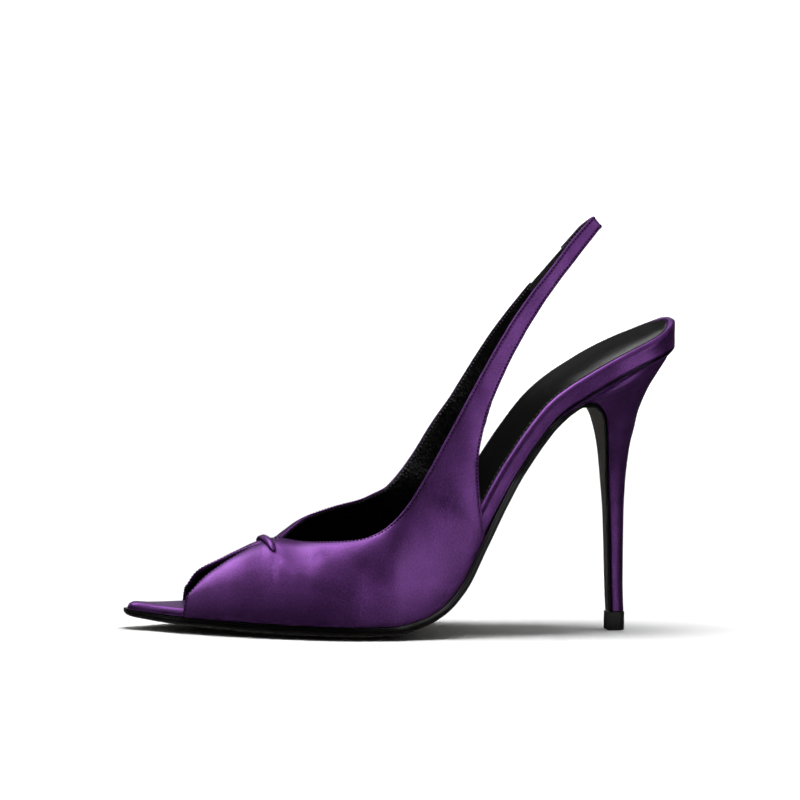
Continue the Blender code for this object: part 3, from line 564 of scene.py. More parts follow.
# %% Columns of the wall
STITCH_INSET = 0.90 * MM
CHANNEL_HALF = 0.22 * MM
SATIN_THICK = 0.6 * MM
UPPER_THICK = 1.2 * MM
EDGE_ROUND = SATIN_THICK / 2
EDGE_STEPS = [EDGE_ROUND * (1 - math.cos(k * math.pi / 8)) for k in range(5)]
EDGE_STEPS += [0.52 * MM] + [STITCH_INSET + k * CHANNEL_HALF / 2 for k in range(-2, 3)]
EDGE_STEPS += [1.7 * MM, 2.2 * MM]
EDGE_STEPS = np.array(EDGE_STEPS)
STITCH_STEP = int(np.argmin(abs(EDGE_STEPS - STITCH_INSET)))
MIDDLE_STEPS = 17
COLUMN_SPACING = 1.25 * MM
SWELL_LEAN = 0.7
LEAST_SLANT = 0.4
MOST_FILLED = 0.86
FINE_PER_ROW, FINE_UP = 80, 81


def wall_point(at, over, out, side):
    """A place on the upper: along the last, over the seat line, and out from the centre line."""
    return np.array([along(at), side * out * BALL_HALF, seat_height(at) + over * COLLAR_RISE])


def feather_point(at, side):
    """The foot of the upper's outer face, on the outsole just outside the insole's edge."""
    out = half_width(at) + FEATHER_EASE + WALL
    return seat_point(at) + CLEARANCE * seat_normal(at) + [0, centre_line(at) + side * out, 0]


def row_ends(rows, i, side):
    """Foot and top of one row of a table of the upper."""
    foot = feather_point(rows["foot_at"][i], side)
    if rows["foot_over"][i] is not ON_FEATHER:
        foot = wall_point(rows["foot_at"][i], rows["foot_over"][i], rows["foot_out"][i], side)
    return foot, wall_point(rows["top_at"][i], rows["top_over"][i], rows["top_out"][i], side)


def columns_at(rows, side, places):
    """Feet, tops, fullness and swell of the wall's columns at these rows of a table."""
    index = range(len(rows["foot_at"]))
    ends = [row_ends(rows, i, side) for i in index]
    feet, tops = (
        np.stack([curve(index, [end[k][axis] for end in ends])(places) for axis in range(3)], axis=1)
        for k in range(2)
    )
    foot_places = curve(index, rows["foot_at"])(places)
    for i, place in enumerate(places):
        if rows["foot_over"][min(math.ceil(place), len(index) - 1)] is ON_FEATHER:
            feet[i] = feather_point(foot_places[i], side)
    return feet, tops, curve(index, rows["full"])(places), curve(index, rows["swell"])(places)


def wall_points(columns, up, side):
    """Points on the outer face, at shares up each column."""
    feet, tops, full, swell = columns
    turn = up * math.pi / 2
    bend = np.stack([up, 1 - np.cos(turn), np.sin(turn)], axis=-1)
    straight = feet[:, None] + (tops - feet)[:, None] * up[..., None]
    curved = feet[:, None] + (tops - feet)[:, None] * bend
    points = straight + (curved - straight) * full[:, None, None]
    points[..., 1] += side * swell[:, None] * BALL_HALF * np.sin(np.pi * up**SWELL_LEAN)
    return points


def run_lengths(points):
    """Distance travelled along the last axis of a row of points."""
    steps = np.linalg.norm(np.diff(points, axis=-2), axis=-1)
    return np.concatenate([np.zeros_like(steps[..., :1]), np.cumsum(steps, axis=-1)], axis=-1)


def even_places(rows, side, first, last, open_start=False, open_end=False):
    """Rows of a table spaced evenly along the wall, and closer together at an open end."""
    fine = np.linspace(first, last, int(FINE_PER_ROW * (last - first)) + 1)
    middle = wall_points(columns_at(rows, side, fine), np.full((len(fine), 1), 0.5), side)[:, 0]
    run = run_lengths(middle)
    start = EDGE_STEPS if open_start else np.zeros(1)
    end = run[-1] - (EDGE_STEPS[::-1] if open_end else np.zeros(1))
    count = max(1, round((end[0] - start[-1]) / COLUMN_SPACING))
    between = np.linspace(start[-1], end[0], count + 1)[1:-1]
    places = np.interp(np.concatenate([start, between, end]), run, fine)
    places[0], places[-1] = first, last
    return places


def join_columns(*groups):
    """Groups of columns as one, in their order."""
    return tuple(np.concatenate([group[k] for group in groups]) for k in range(4))


def bend_columns(first, last, count):
    """Columns round the back of the strap, between its lateral and its medial end."""
    turn = np.linspace(0, math.pi, count + 2)[1:-1, None]
    share = (1 - np.cos(turn)) / 2
    feet, tops = (first[k] + (last[k] - first[k]) * share for k in range(2))
    run = tops - feet
    back = np.stack([run[:, 2], 0 * run[:, 2], -run[:, 0]], axis=1)
    back /= np.linalg.norm(back, axis=1)[:, None]
    reach = STRAP_BEND_RADIUS * np.sin(turn)
    return feet + back * reach, tops + back * reach, np.zeros(count), np.zeros(count)


def slant(columns_run, edge):
    """How square the columns meet an edge: 1 where square, less where slanted."""
    edge_run = np.gradient(edge, axis=0)
    edge_run /= np.linalg.norm(edge_run, axis=1)[:, None] + 1e-12
    columns_run = columns_run / np.linalg.norm(columns_run, axis=1)[:, None]
    return np.clip(np.linalg.norm(np.cross(columns_run, edge_run), axis=1), LEAST_SLANT, 1.0)


def shares_up(columns, side):
    """Shares up each column, closer together near its foot and its top, at true distances from them."""
    fine = np.linspace(0, 1, FINE_UP)
    points = wall_points(columns, np.tile(fine, (len(columns[0]), 1)), side)
    run = run_lengths(points)
    foot_slant = slant(points[:, 2] - points[:, 0], points[:, 0])
    top_slant = slant(points[:, -1] - points[:, -3], points[:, -1])
    up = []
    for i, total in enumerate(run[:, -1]):
        low, high = EDGE_STEPS / foot_slant[i], EDGE_STEPS / top_slant[i]
        squeeze = min(1.0, MOST_FILLED * total / (low[-1] + high[-1]))
        low, high = low * squeeze, total - high[::-1] * squeeze
        middle = np.linspace(low[-1], high[0], MIDDLE_STEPS + 2)[1:-1]
        up.append(np.interp(np.concatenate([low, middle, high]), run[i], fine))
    up = np.array(up)
    up[:, 0], up[:, -1] = 0.0, 1.0
    return up


# %% Places of the columns
BEND_STEPS = 15
FRONT = even_places(LATERAL, -1, 0, FIRST_BRIDGE_ROW, open_start=True)
BRIDGE = even_places(LATERAL, -1, FIRST_BRIDGE_ROW, LAST_BRIDGE_ROW)
lateral_rest = even_places(LATERAL, -1, LAST_BRIDGE_ROW, len(LATERAL["full"]) - 1)
medial_rest = even_places(MEDIAL, 1, LAST_BRIDGE_ROW, len(MEDIAL["full"]) - 1, open_end=True)
LATERAL_PLACES = np.concatenate([FRONT, BRIDGE[1:], lateral_rest[1:]])
MEDIAL_PLACES = np.concatenate([FRONT, BRIDGE[1:], medial_rest[1:]])
TAIL_PLACES = even_places(STRAP_TAIL, -1, 0, 1, open_end=True)
BRIDGED = slice(len(FRONT) - 1, len(FRONT) + len(BRIDGE) - 1)
lateral_columns = columns_at(LATERAL, -1, LATERAL_PLACES)
medial_columns = columns_at(MEDIAL, 1, MEDIAL_PLACES)
ridge = (lateral_columns[1][BRIDGED] + medial_columns[1][BRIDGED]) / 2
lateral_columns[1][BRIDGED] = ridge
medial_columns[1][BRIDGED] = ridge
tail_columns = columns_at(STRAP_TAIL, -1, TAIL_PLACES)
bend_ends = [c[-1] for c in lateral_columns[:2]], [c[0] for c in tail_columns[:2]]
bend = bend_columns(*bend_ends, BEND_STEPS)
lateral_columns = join_columns(lateral_columns, bend, tail_columns)
print("columns:", len(lateral_columns[0]), "lateral,", len(medial_columns[0]), "medial")

# %% [markdown]
# ## Creases
# Satin over a bare shape lies in long, soft troughs and ridges: gathers that fan out from the small
# band on the vamp, a hollow behind it, and slow ripples along the strap. Noise would spread such forms
# evenly, which looks like water. Each is listed instead, from one place on the wall to another.

# %% Creases
# side. row, up: a place by the upper's table, and the share up the wall. width and depth in mm, where
# a negative depth is a ridge.
CREASES = table(
    "side row up end_row end_up width depth",
    [
        (-1, 3.9, 0.62, 4.9, 0.44, 1.6, 0.30),
        (-1, 3.6, 0.58, 3.5, 0.36, 1.5, 0.22),
        (-1, 4.3, 0.70, 6.8, 0.62, 2.2, 0.28),
        (-1, 4.6, 0.50, 7.4, 0.36, 3.6, -0.35),
        (-1, 7.2, 0.70, 8.6, 0.45, 5.0, 0.55),
        (-1, 9.6, 0.80, 10.6, 0.35, 6.5, 0.38),
        (-1, 12.4, 0.85, 13.4, 0.40, 5.0, 0.10),
        (-1, 16.1, 0.00, 16.1, 1.00, 4.2, 0.45),
        (-1, 17.8, 0.00, 17.8, 1.00, 4.2, -0.35),
        (-1, 19.2, 0.00, 19.3, 1.00, 3.6, 0.40),
        (-1, 20.6, 0.00, 20.6, 1.00, 3.6, -0.30),
        (1, 3.9, 0.62, 4.9, 0.44, 1.6, 0.30),
        (1, 4.5, 0.60, 7.2, 0.40, 3.0, 0.35),
        (1, 8.5, 0.75, 9.8, 0.35, 6.0, 0.45),
        (1, 15.8, 0.00, 15.9, 1.00, 4.5, 0.20),
        (1, 17.9, 0.00, 17.9, 1.00, 4.5, -0.20),
    ],
)


def gap_from(points, start, end):
    """Distance of each point from a straight run."""
    run = end - start
    share = np.clip((points - start) @ run / (run @ run), 0, 1)
    return np.linalg.norm(points - start - share[..., None] * run, axis=-1)


def crease_depth(points, side):
    """How far the creases of one side sink each point of its wall."""
    rows = LATERAL if side < 0 else MEDIAL
    depth = np.zeros(points.shape[:-1])
    for i, crease_side in enumerate(CREASES["side"]):
        if crease_side != side:
            continue
        ends = [(CREASES["row"][i], CREASES["up"][i]), (CREASES["end_row"][i], CREASES["end_up"][i])]
        start, end = (
            wall_points(columns_at(rows, side, np.array([row])), np.array([[up]]), side)[0, 0]
            for row, up in ends
        )
        gap = gap_from(points, start, end)
        depth += CREASES["depth"][i] * MM * np.exp(-((gap / (CREASES["width"][i] * MM)) ** 2))
    return depth


# %% The sheet: both sides as one grid of points
def side_grid(columns, side):
    """Points of one side's wall, creased, with its cloth map in metres."""
    up = shares_up(columns, side)
    points = wall_points(columns, up, side)
    across = np.gradient(points, axis=0)
    upward = np.gradient(points, axis=1)
    out = np.cross(upward, across) * side
    out /= np.linalg.norm(out, axis=-1)[..., None] + 1e-12
    heights = run_lengths(points)
    run = run_lengths(points[:, points.shape[1] // 2])
    cloth = np.stack([np.repeat(run[:, None], points.shape[1], axis=1), heights], axis=-1)
    return points - out * crease_depth(points, side)[..., None], cloth


lateral_points, lateral_cloth = side_grid(lateral_columns, -1)
medial_points, medial_cloth = side_grid(medial_columns, 1)
ridge = (lateral_points[BRIDGED, -1] + medial_points[BRIDGED, -1]) / 2
lateral_points[BRIDGED, -1] = ridge
medial_points[BRIDGED, -1] = ridge
LATERAL_IDS = np.arange(lateral_points[..., 0].size).reshape(lateral_points.shape[:2])
MEDIAL_IDS = np.arange(medial_points[..., 0].size).reshape(medial_points.shape[:2]) + LATERAL_IDS.size
MEDIAL_IDS[BRIDGED, -1] = LATERAL_IDS[BRIDGED, -1]
SHEET = np.concatenate([lateral_points.reshape(-1, 3), medial_points.reshape(-1, 3)])
FIRST_FREE_FOOT = int(np.argmax(LATERAL_PLACES >= LAST_FEATHER_ROW))
MEDIAL_FREE_FOOT = int(np.argmax(MEDIAL_PLACES >= LAST_FEATHER_ROW))
SIDES = ((LATERAL_IDS, FIRST_FREE_FOOT), (MEDIAL_IDS, MEDIAL_FREE_FOOT))


def sheet_faces(ids, cloth, side):
    """The quads of one side, facing out, and the cloth map of each of their corners."""
    faces, uvs = [], []
    for i in range(ids.shape[0] - 1):
        for j in range(ids.shape[1] - 1):
            spots = [(i, j), (i, j + 1), (i + 1, j + 1), (i + 1, j)][::side]
            faces.append([ids[s] for s in spots])
            uvs.append([cloth[s] for s in spots])
    return faces, uvs


lateral_faces, lateral_uvs = sheet_faces(LATERAL_IDS, lateral_cloth, -1)
medial_faces, medial_uvs = sheet_faces(MEDIAL_IDS, medial_cloth, 1)
FACES = np.array(lateral_faces + medial_faces)
FACE_UVS = np.array(lateral_uvs + medial_uvs)


def sheet_normals():
    """The direction out of the sheet at each of its points."""
    corners = SHEET[FACES]
    square = np.cross(corners[:, 2] - corners[:, 0], corners[:, 3] - corners[:, 1])
    normals = np.zeros_like(SHEET)
    for k in range(4):
        np.add.at(normals, FACES[:, k], square)
    return normals / (np.linalg.norm(normals, axis=1)[:, None] + 1e-15)


NORMALS = sheet_normals()


MARK_SPACING = 0.1 * MM


def free_edges():
    """The runs of points along the upper's free edges: toe opening, topline, strap and quarters."""
    runs = []
    for ids, free_foot in SIDES:
        runs += [ids[0], ids[: BRIDGED.start + 1, -1], ids[BRIDGED.stop - 1 :, -1]]
        runs += [ids[free_foot:, 0], ids[-1]]
    return runs


def edge_distances():
    """How far each point of the sheet is from the nearest free edge."""
    marks = []
    for run in free_edges():
        for start, end in zip(SHEET[run[:-1]], SHEET[run[1:]]):
            count = max(1, math.ceil(np.linalg.norm(end - start) / MARK_SPACING))
            marks += [start + (end - start) * k / count for k in range(count)]
        marks.append(SHEET[run[-1]])
    tree = KDTree(len(marks))
    for i, mark in enumerate(marks):
        tree.insert(mark, i)
    tree.balance()
    return np.array([tree.find(point)[2] for point in SHEET])


DISTANCE = edge_distances()
print("sheet of", len(FACES), "quads; free edges found:", len(free_edges()))

# %% [markdown]
# ## Satin and lining as two walls
# The satin is turned over each free edge, so in section its edge is round. The lining stops just
# short of it. Both are made from the one sheet: the function pushes the sheet out and in by depths
# that shrink to nothing at the free edge, where the two faces meet, and it closes the feather edge.

# %% The two walls of the upper
LINING_GAP = 0.03 * MM
LINING_SETBACK = EDGE_STEPS[3]
SETBACK_SLACK = 0.06 * MM
ROLL_HEIGHT = 0.07 * MM
ROLL_INSET = 0.42 * MM
CHANNEL_DEPTH = 0.07 * MM
# How dark the painted shade along the stitch channel is, against the full shade in the heel's rebate
CHANNEL_SHADE = 0.3


def rounding(distance, radius):
    """Depth of a round edge's face below its crown, at a distance from the edge."""
    inside = np.clip(radius - distance, 0, radius)
    return radius - np.sqrt(radius**2 - inside**2)


def channel(distance):
    """1 on the line of stitches, fading to 0 within the channel's half width."""
    return np.exp(-(((distance - STITCH_INSET) / CHANNEL_HALF) ** 2))


def satin_faces(distance):
    """Offsets of the satin's outer and inner face from the sheet."""
    roll = ROLL_HEIGHT * np.exp(-(((distance - ROLL_INSET) / (0.5 * ROLL_INSET)) ** 2))
    outer = roll - rounding(distance, EDGE_ROUND) - CHANNEL_DEPTH * channel(distance)
    return outer, -SATIN_THICK + rounding(distance, EDGE_ROUND)


def lining_faces(distance):
    """Offsets of the lining's face against the satin and of its face towards the foot."""
    thick = UPPER_THICK - SATIN_THICK - LINING_GAP
    beyond = np.clip(distance - LINING_SETBACK, 0, 1)
    curl = rounding(beyond, thick / 2)
    sunk = 0.5 * CHANNEL_DEPTH * channel(distance)
    return -SATIN_THICK - LINING_GAP - curl, -UPPER_THICK + curl + sunk


def make_wall(name, setback, offsets, finish):
    """A closed wall between two offsets of the sheet, without what lies nearer a free edge than setback."""
    kept = DISTANCE[FACES].min(axis=1) >= setback - SETBACK_SLACK
    faces, uvs = FACES[kept], FACE_UVS[kept]
    directed = {(f[k], f[(k + 1) % 4]) for f in faces for k in range(4)}
    border = [edge for edge in directed if edge[::-1] not in directed]
    on_feather = {i for ids, free_foot in SIDES for i in ids[: free_foot + 1, 0]}
    rim = [edge for edge in border if edge[0] in on_feather and edge[1] in on_feather]
    met = {i for edge in border if edge not in set(rim) for i in edge}
    outer, inner = offsets(DISTANCE)
    outer_points = SHEET + NORMALS * outer[:, None]
    inner_points = SHEET + NORMALS * inner[:, None]
    for i in met:
        outer_points[i] = (outer_points[i] + inner_points[i]) / 2
    used = np.unique(faces)
    out_id = {i: n for n, i in enumerate(used)}
    twins = [i for i in used if i not in met]
    in_id = {i: len(used) + n for n, i in enumerate(twins)} | {i: out_id[i] for i in met}
    points = np.concatenate([outer_points[used], inner_points[twins]])
    mesh_faces = [[out_id[i] for i in f] for f in faces] + [[in_id[i] for i in f[::-1]] for f in faces]
    corner_uvs = [uv for quad in uvs for uv in quad] + [uv for quad in uvs for uv in quad[::-1]]
    for a, b in rim:
        corners = list(dict.fromkeys([out_id[b], out_id[a], in_id[a], in_id[b]]))
        mesh_faces.append(corners)
        corner_uvs += [(0.0, 0.0)] * len(corners)
    # Painted shade along the stitched channel, kept on the points for the satin
    shade = CHANNEL_SHADE * channel(DISTANCE)[np.concatenate([used, twins]).astype(int)]
    return new_piece(name, points, mesh_faces, finish, corner_uvs, {"painted_recess_shade": shade}, sharp=70.0)


settle(make_wall("upper_satin", 0.0, satin_faces, SATIN), "upper_satin", "upper")
settle(make_wall("upper_lining", LINING_SETBACK, lining_faces, LINING), "sock", "upper")

# %% [markdown]
# ## Stitches with Geometry Nodes
# A row of lockstitch is the same small thread, repeated along a line. That is what Geometry Nodes do
# best: the line is resampled at the stitch's pitch, one thread is placed at each point and turned
# along the line, and the copies are realized into one plain mesh. The thread is drawn about twice as
# thick as a real one of 0.3 mm, or it would be lost at the picture's size.

# %% The tree that makes a row of stitches
STITCH_PITCH = 1.45 * MM
STITCH_LENGTH = 0.85 * MM
STITCH_THICK = 0.58 * MM


def stitch_tree(finish):
    """A node tree that turns a line into a row of threads."""
    tree = bpy.data.node_groups.new("stitch_row_" + finish.name, "GeometryNodeTree")
    new_socket = tree.interface.new_socket
    new_socket("Line", in_out="INPUT", socket_type="NodeSocketGeometry")
    for label in ("Pitch", "Stitch Length", "Thread"):
        new_socket(label, in_out="INPUT", socket_type="NodeSocketFloat")
    new_socket("Stitches", in_out="OUTPUT", socket_type="NodeSocketGeometry")
    given = add(tree, "NodeGroupInput")
    spaced = {"Curve": given["Line"], "Length": given["Pitch"]}
    line = add(tree, "GeometryNodeResampleCurve", spaced, {"mode": "LENGTH"})
    run = add(tree, "GeometryNodeInputTangent")
    turned = add(tree, "FunctionNodeAlignRotationToVector", {"Vector": run["Tangent"]}, {"axis": "X"})
    thick = given["Thread"]
    size = add(tree, "ShaderNodeCombineXYZ", {"X": given["Stitch Length"], "Y": thick, "Z": thick})
    ball = add(tree, "GeometryNodeMeshUVSphere", {"Segments": 8, "Rings": 6, "Radius": 0.5})
    thread = add(tree, "GeometryNodeTransform", {"Geometry": ball["Mesh"], "Scale": size["Vector"]})
    copies = {"Points": line["Curve"], "Instance": thread["Geometry"], "Rotation": turned["Rotation"]}
    placed = add(tree, "GeometryNodeInstanceOnPoints", copies)
    real = add(tree, "GeometryNodeRealizeInstances", {"Geometry": placed["Instances"]})
    smooth = add(tree, "GeometryNodeSetShadeSmooth", {"Geometry": real["Geometry"]})
    dyed = add(tree, "GeometryNodeSetMaterial", {"Geometry": smooth["Geometry"], "Material": finish})
    add(tree, "NodeGroupOutput", {"Stitches": dyed["Geometry"]})
    return tree


def stitch_rows(name, lines, finish, pitch=STITCH_PITCH, length=STITCH_LENGTH, thick=STITCH_THICK):
    """Rows of stitches along these lines of points, as one plain mesh."""
    path = bpy.data.curves.new(name + "_path", "CURVE")
    path.dimensions = "3D"
    for line in lines:
        spline = path.splines.new("POLY")
        spline.points.add(len(line) - 1)
        for point, place in zip(spline.points, line):
            point.co = (*place, 1.0)
    guide = bpy.data.objects.new(name + "_path", path)
    bpy.context.scene.collection.objects.link(guide)
    rows = guide.modifiers.new("stitches", "NODES")
    rows.node_group = stitch_tree(finish)
    sizes = {"Pitch": pitch, "Stitch Length": length, "Thread": thick}
    for item in rows.node_group.interface.items_tree:
        if item.name in sizes:
            rows[item.identifier] = sizes[item.name]
    bpy.context.view_layer.update()
    evaluated = guide.evaluated_get(bpy.context.evaluated_depsgraph_get())
    mesh = bpy.data.meshes.new_from_object(evaluated)
    bpy.data.objects.remove(guide)
    piece = bpy.data.objects.new(name, mesh)
    bpy.context.scene.collection.objects.link(piece)
    return piece


# %% Stitches of the upper
SATIN_LIFT = 0.04 * MM
LINING_LIFT = 0.03 * MM


def on_satin(ids):
    """A line of points on the satin's outer face, in the channel."""
    outer, _ = satin_faces(DISTANCE[ids])
    return SHEET[ids] + NORMALS[ids] * (outer + SATIN_LIFT)[:, None]


def on_lining(ids):
    """A line of points on the lining's face towards the foot."""
    _, inner = lining_faces(DISTANCE[ids])
    return SHEET[ids] + NORMALS[ids] * (inner - LINING_LIFT)[:, None]


step = STITCH_STEP
opening_lines = [
    np.concatenate([ids[step, 2 : -1 - step], ids[step : BRIDGED.start - 1, -1 - step]]) for ids, _ in SIDES
]
topline_lines = [ids[BRIDGED.stop - 2 : -1 - step, -1 - step] for ids, _ in SIDES]
lower_lines = [ids[free_foot + step : -1 - step, step] for ids, free_foot in SIDES]
end_lines = [ids[-1 - step, step:-step] for ids, _ in SIDES]
satin_lines = [on_satin(ids) for ids in opening_lines + topline_lines + lower_lines + end_lines]
settle(stitch_rows("upper_stitches", satin_lines, THREAD), "upper_satin")
lining_lines = [on_lining(ids) for ids in topline_lines + lower_lines]
lining_sizes = STITCH_PITCH, STITCH_LENGTH * 0.7, STITCH_THICK * 0.9
settle(stitch_rows("lining_stitches", lining_lines, SOCK_THREAD, *lining_sizes), "sock")

# %% [markdown]
# ## The band on the vamp
# Where the toe opening closes, a strip of satin is rolled over the ridge of the vamp and tucked down on
# each side. It could be a bent cylinder. A real roll of cloth is fullest on the ridge and has pleats
# that run along it, so it is lofted along the vamp's own surface with a pleated section.

# %% The rolled band
BAND_STEPS, BAND_SIDES = 48, 28
BAND_LOOK = 0.08
BAND_SIDE_LOOK = 0.3
BAND_TAPER, BAND_LEAST = 0.9, 0.02
PLEATS, PLEAT_DEPTH, PLEAT_TWIST = 3, 0.10, 2.2


def vamp_place(share, shift=0.0):
    """A point on the vamp under the band: share runs from -1, its lateral end, to 1."""
    rows, side = (LATERAL, -1) if share < 0 else (MEDIAL, 1)
    row = np.array([BAND_ROW + BAND_SWEEP * abs(share) + shift])
    columns = columns_at(rows, side, row)
    ridge_tops = (columns_at(LATERAL, -1, row)[1] + columns_at(MEDIAL, 1, row)[1]) / 2
    columns = (columns[0], ridge_tops, columns[2], columns[3])
    return wall_points(columns, np.array([[1 - BAND_REACH * abs(share)]]), side)[0, 0]


def band_ring(share):
    """The band's section at a place along it, pleated, and thinner towards its tucked ends."""
    centre = vamp_place(share)
    run = vamp_place(min(share + BAND_LOOK, 1)) - vamp_place(max(share - BAND_LOOK, -1))
    run /= np.linalg.norm(run)
    back = vamp_place(share, BAND_SIDE_LOOK) - vamp_place(share, -BAND_SIDE_LOOK)
    back -= run * np.dot(back, run)
    back /= np.linalg.norm(back)
    out = np.cross(run, back)
    out *= np.sign(out[2])
    size = math.sqrt(max(1 - BAND_TAPER * abs(share) ** 5, BAND_LEAST))
    ring = []
    for k in range(BAND_SIDES):
        turn = 2 * math.pi * k / BAND_SIDES
        pleat = 1 - PLEAT_DEPTH * max(0.0, math.cos(PLEATS * turn + PLEAT_TWIST * share)) ** 3
        rise = BAND_THICKNESS * size * (0.5 + 0.56 * pleat * math.sin(turn))
        ring.append(centre + out * rise + back * (BAND_WIDTH / 2 * size * pleat * math.cos(turn)))
    return ring


band_rings = [band_ring(share) for share in np.linspace(-1, 1, BAND_STEPS + 1)]
settle(loft("vamp_band_roll", band_rings, SATIN), "upper_satin", "vamp_band")

# %% [markdown]
# ## Insole, rand and sock
# The insole board is wrapped in satin: its edge, the rand, shows all round the heel, and its toe shows
# through the opening. A nappa sock lies in a shallow bed on top, stitched near its edge. Both are lofts
# of one section along the seat line. A curve with a bevel would be shorter to write, but its section
# could not widen at the ball and narrow at the arch.

# %% Sections along the last
SEAT_STATIONS, SOCK_STATIONS = 190, 150
RAND_HOLLOW = 0.08 * MM
RAND_OVERLAP = 0.6 * MM
RAND_FOOT = 0.2 * MM
OVERLAP_FROM, OVERLAP_GROWS = 0.775, 0.03
BULGE_FROM, BULGE_GROWS = 0.9, 0.1
EDGE_SHARE = 0.45
TIP_BACK, TIP_BACK_FADES = 0.3 * MM, 0.04
SOCK_EDGE = 0.3 * MM
SOCK_CUP = 1.5 * MM
SOCK_BACK_ROUND = 4.5 * MM
SOCK_MARGIN = RAND_WIDTH + 2 * CLEARANCE
LEAST_ROUND = 0.04


def edge_radius(half):
    """Radius of the insole's top edge, smaller where the insole is narrow."""
    return min(INSOLE_EDGE_RADIUS, EDGE_SHARE * half)


def back_round(at, margin):
    """1 along the seat, falling to 0 in a round end, a margin short of the back."""
    share = np.clip(((1 - at) * LENGTH - margin) / SOCK_BACK_ROUND, 0.0, 1.0)
    return math.sqrt(max(1 - (1 - share) ** 2, LEAST_ROUND**2))


def bed_half(at):
    """Half width of the sock's bed."""
    return (half_width(at) - RAND_WIDTH) * back_round(at, RAND_WIDTH)


def insole_top(at, out, half):
    """Height of the insole's top over its underside, at a distance out from its centre line."""
    radius = edge_radius(half)
    thick = LAST_CURVES["board"](at) * INSOLE_THICKNESS
    inside = max(0.0, out - (half - radius))
    drop = radius - math.sqrt(max(radius**2 - inside**2, 0.0))
    crown = INSOLE_CROWN * min(1.0, half / BALL_HALF) * (1 - (out / half) ** 2)
    bed = bed_half(at)
    into_bed = np.clip((bed - out) / SOCK_EDGE + 0.5, 0, 1) * (1 if bed > 0.5 * MM else 0)
    cup = SOCK_CUP * min(1.0, bed / SEAT_HALF) * np.clip(1 - (out / max(bed, MM)) ** 2, 0, 1)
    return thick - drop + crown - (SOCK_RECESS + cup) * LAST_CURVES["sock"](min(at, 0.98)) * into_bed


def section(at, pairs):
    """Both halves of a section: pairs of a distance out and a height, from the lower edge inwards."""
    centre, normal = centre_line(at), board_normal(at)
    base = seat_point(at) + CLEARANCE * seat_normal(at)
    base = base + [TIP_BACK * max(0.0, 1 - at / TIP_BACK_FADES), 0, 0]
    left = [base + [0, centre - out, 0] + normal * up for out, up in pairs]
    right = [base + [0, centre + out, 0] + normal * up for out, up in pairs]
    return left + right[::-1]


def board_section(at):
    """The insole's section: a slightly hollow rand, a round top edge and the sock's bed."""
    half = half_width(at)
    radius = edge_radius(half)
    side_top = LAST_CURVES["board"](at) * INSOLE_THICKNESS - radius
    hollow = min(RAND_HOLLOW, 0.06 * half) * (1 + np.clip((at - BULGE_FROM) / BULGE_GROWS, 0, 1))
    down = -RAND_OVERLAP * np.clip((at - OVERLAP_FROM) / OVERLAP_GROWS, 0, 1)
    foot = down + RAND_FOOT
    pairs = [(0.0, down), (0.5 * half, down), (half - min(0.3 * MM, 0.1 * half), down)]
    for share in np.linspace(0, 1, 9):
        pairs.append((half - hollow * math.sin(math.pi * share), foot + (side_top - foot) * share))
    edge = [half - radius * (1 - math.cos(math.pi / 2 * i / 8)) for i in range(1, 8)]
    inner = max(bed_half(at), 0.3 * half)
    bed = [inner + SOCK_EDGE * k for k in (1.0, 0.5, 0.2, 0.0, -0.2, -0.5, -1.0)]
    bed += [inner * share for share in (0.8, 0.65, 0.5, 0.35, 0.2, 0.1, 0.0)]
    outs = edge + [min(out, half - radius) for out in bed]
    return section(at, pairs + [(out, insole_top(at, out, half)) for out in outs])


def close_stations(first, last, count):
    """Places along the last, closer together at both ends."""
    share = np.linspace(0, 1, count)
    eased = 0.75 * share + 0.25 * (1 - np.cos(math.pi * share)) / 2
    return first + (last - first) * eased


def back_stations(margin):
    """Places that crowd towards the round back end of the bed or of the sock."""
    last = 1 - margin / LENGTH
    return [last - SOCK_BACK_ROUND / LENGTH * (k / 12) ** 2 for k in range(13)]


board_places = sorted({*close_stations(0.0, 1.0, SEAT_STATIONS), *back_stations(RAND_WIDTH)})
board_rings = [board_section(at) for at in board_places]
settle(loft("insole_satin", board_rings, SATIN, sharp=60), "rand_satin", "insole")


# %% The sock
SOCK_STITCH_INSET = 0.4 * MM
DIMPLE_DEPTH, DIMPLE_HALF = 0.12 * MM, 0.4 * MM
SOCK_INSETS = (0.0, 0.04, 0.12, 0.22, 0.32, 0.6, 0.8, 0.95, 1.1, 1.25, 1.4, 1.65, 2.0, 3.0)
SOCK_SHARES = (0.85, 0.7, 0.55, 0.4, 0.3, 0.2, 0.1, 0.0)


def sock_half(at):
    """Half width of the sock, which lies in the insole's bed and has round ends."""
    front = min(1.0, (at - SOCK_FIRST) * LENGTH / SOCK_FRONT_ROUND)
    rounded = math.sqrt(max(1 - (1 - front) ** 2, 0.0004))
    return (half_width(at) - SOCK_MARGIN) * rounded * back_round(at, SOCK_MARGIN)


def sock_height(at, out):
    """Height of the sock's upper face over the insole's underside."""
    inwards = sock_half(at) - out
    drop = rounding(np.array(inwards), min(SOCK_EDGE, 0.3 * sock_half(at)))
    dimple = DIMPLE_DEPTH * math.exp(-(((inwards - SOCK_STITCH_INSET) / DIMPLE_HALF) ** 2))
    bed = insole_top(at, min(out, bed_half(at) - SOCK_EDGE), half_width(at))
    return bed + CLEARANCE + SOCK_THICKNESS - drop - dimple


def sock_section(at):
    """The sock's section: its flat underside in the bed, and its upper face with the row's dimple."""
    half, reach = half_width(at), sock_half(at)
    bed = bed_half(at) - SOCK_EDGE
    unders = [reach * k / 6 for k in range(7)]
    under = [(out, insole_top(at, min(out, bed), half) + CLEARANCE) for out in unders]
    outs = [reach - min(inset * MM, 0.5 * reach) for inset in SOCK_INSETS]
    outs += [outs[-1] * share for share in SOCK_SHARES]
    return section(at, under + [(out, sock_height(at, out)) for out in outs])


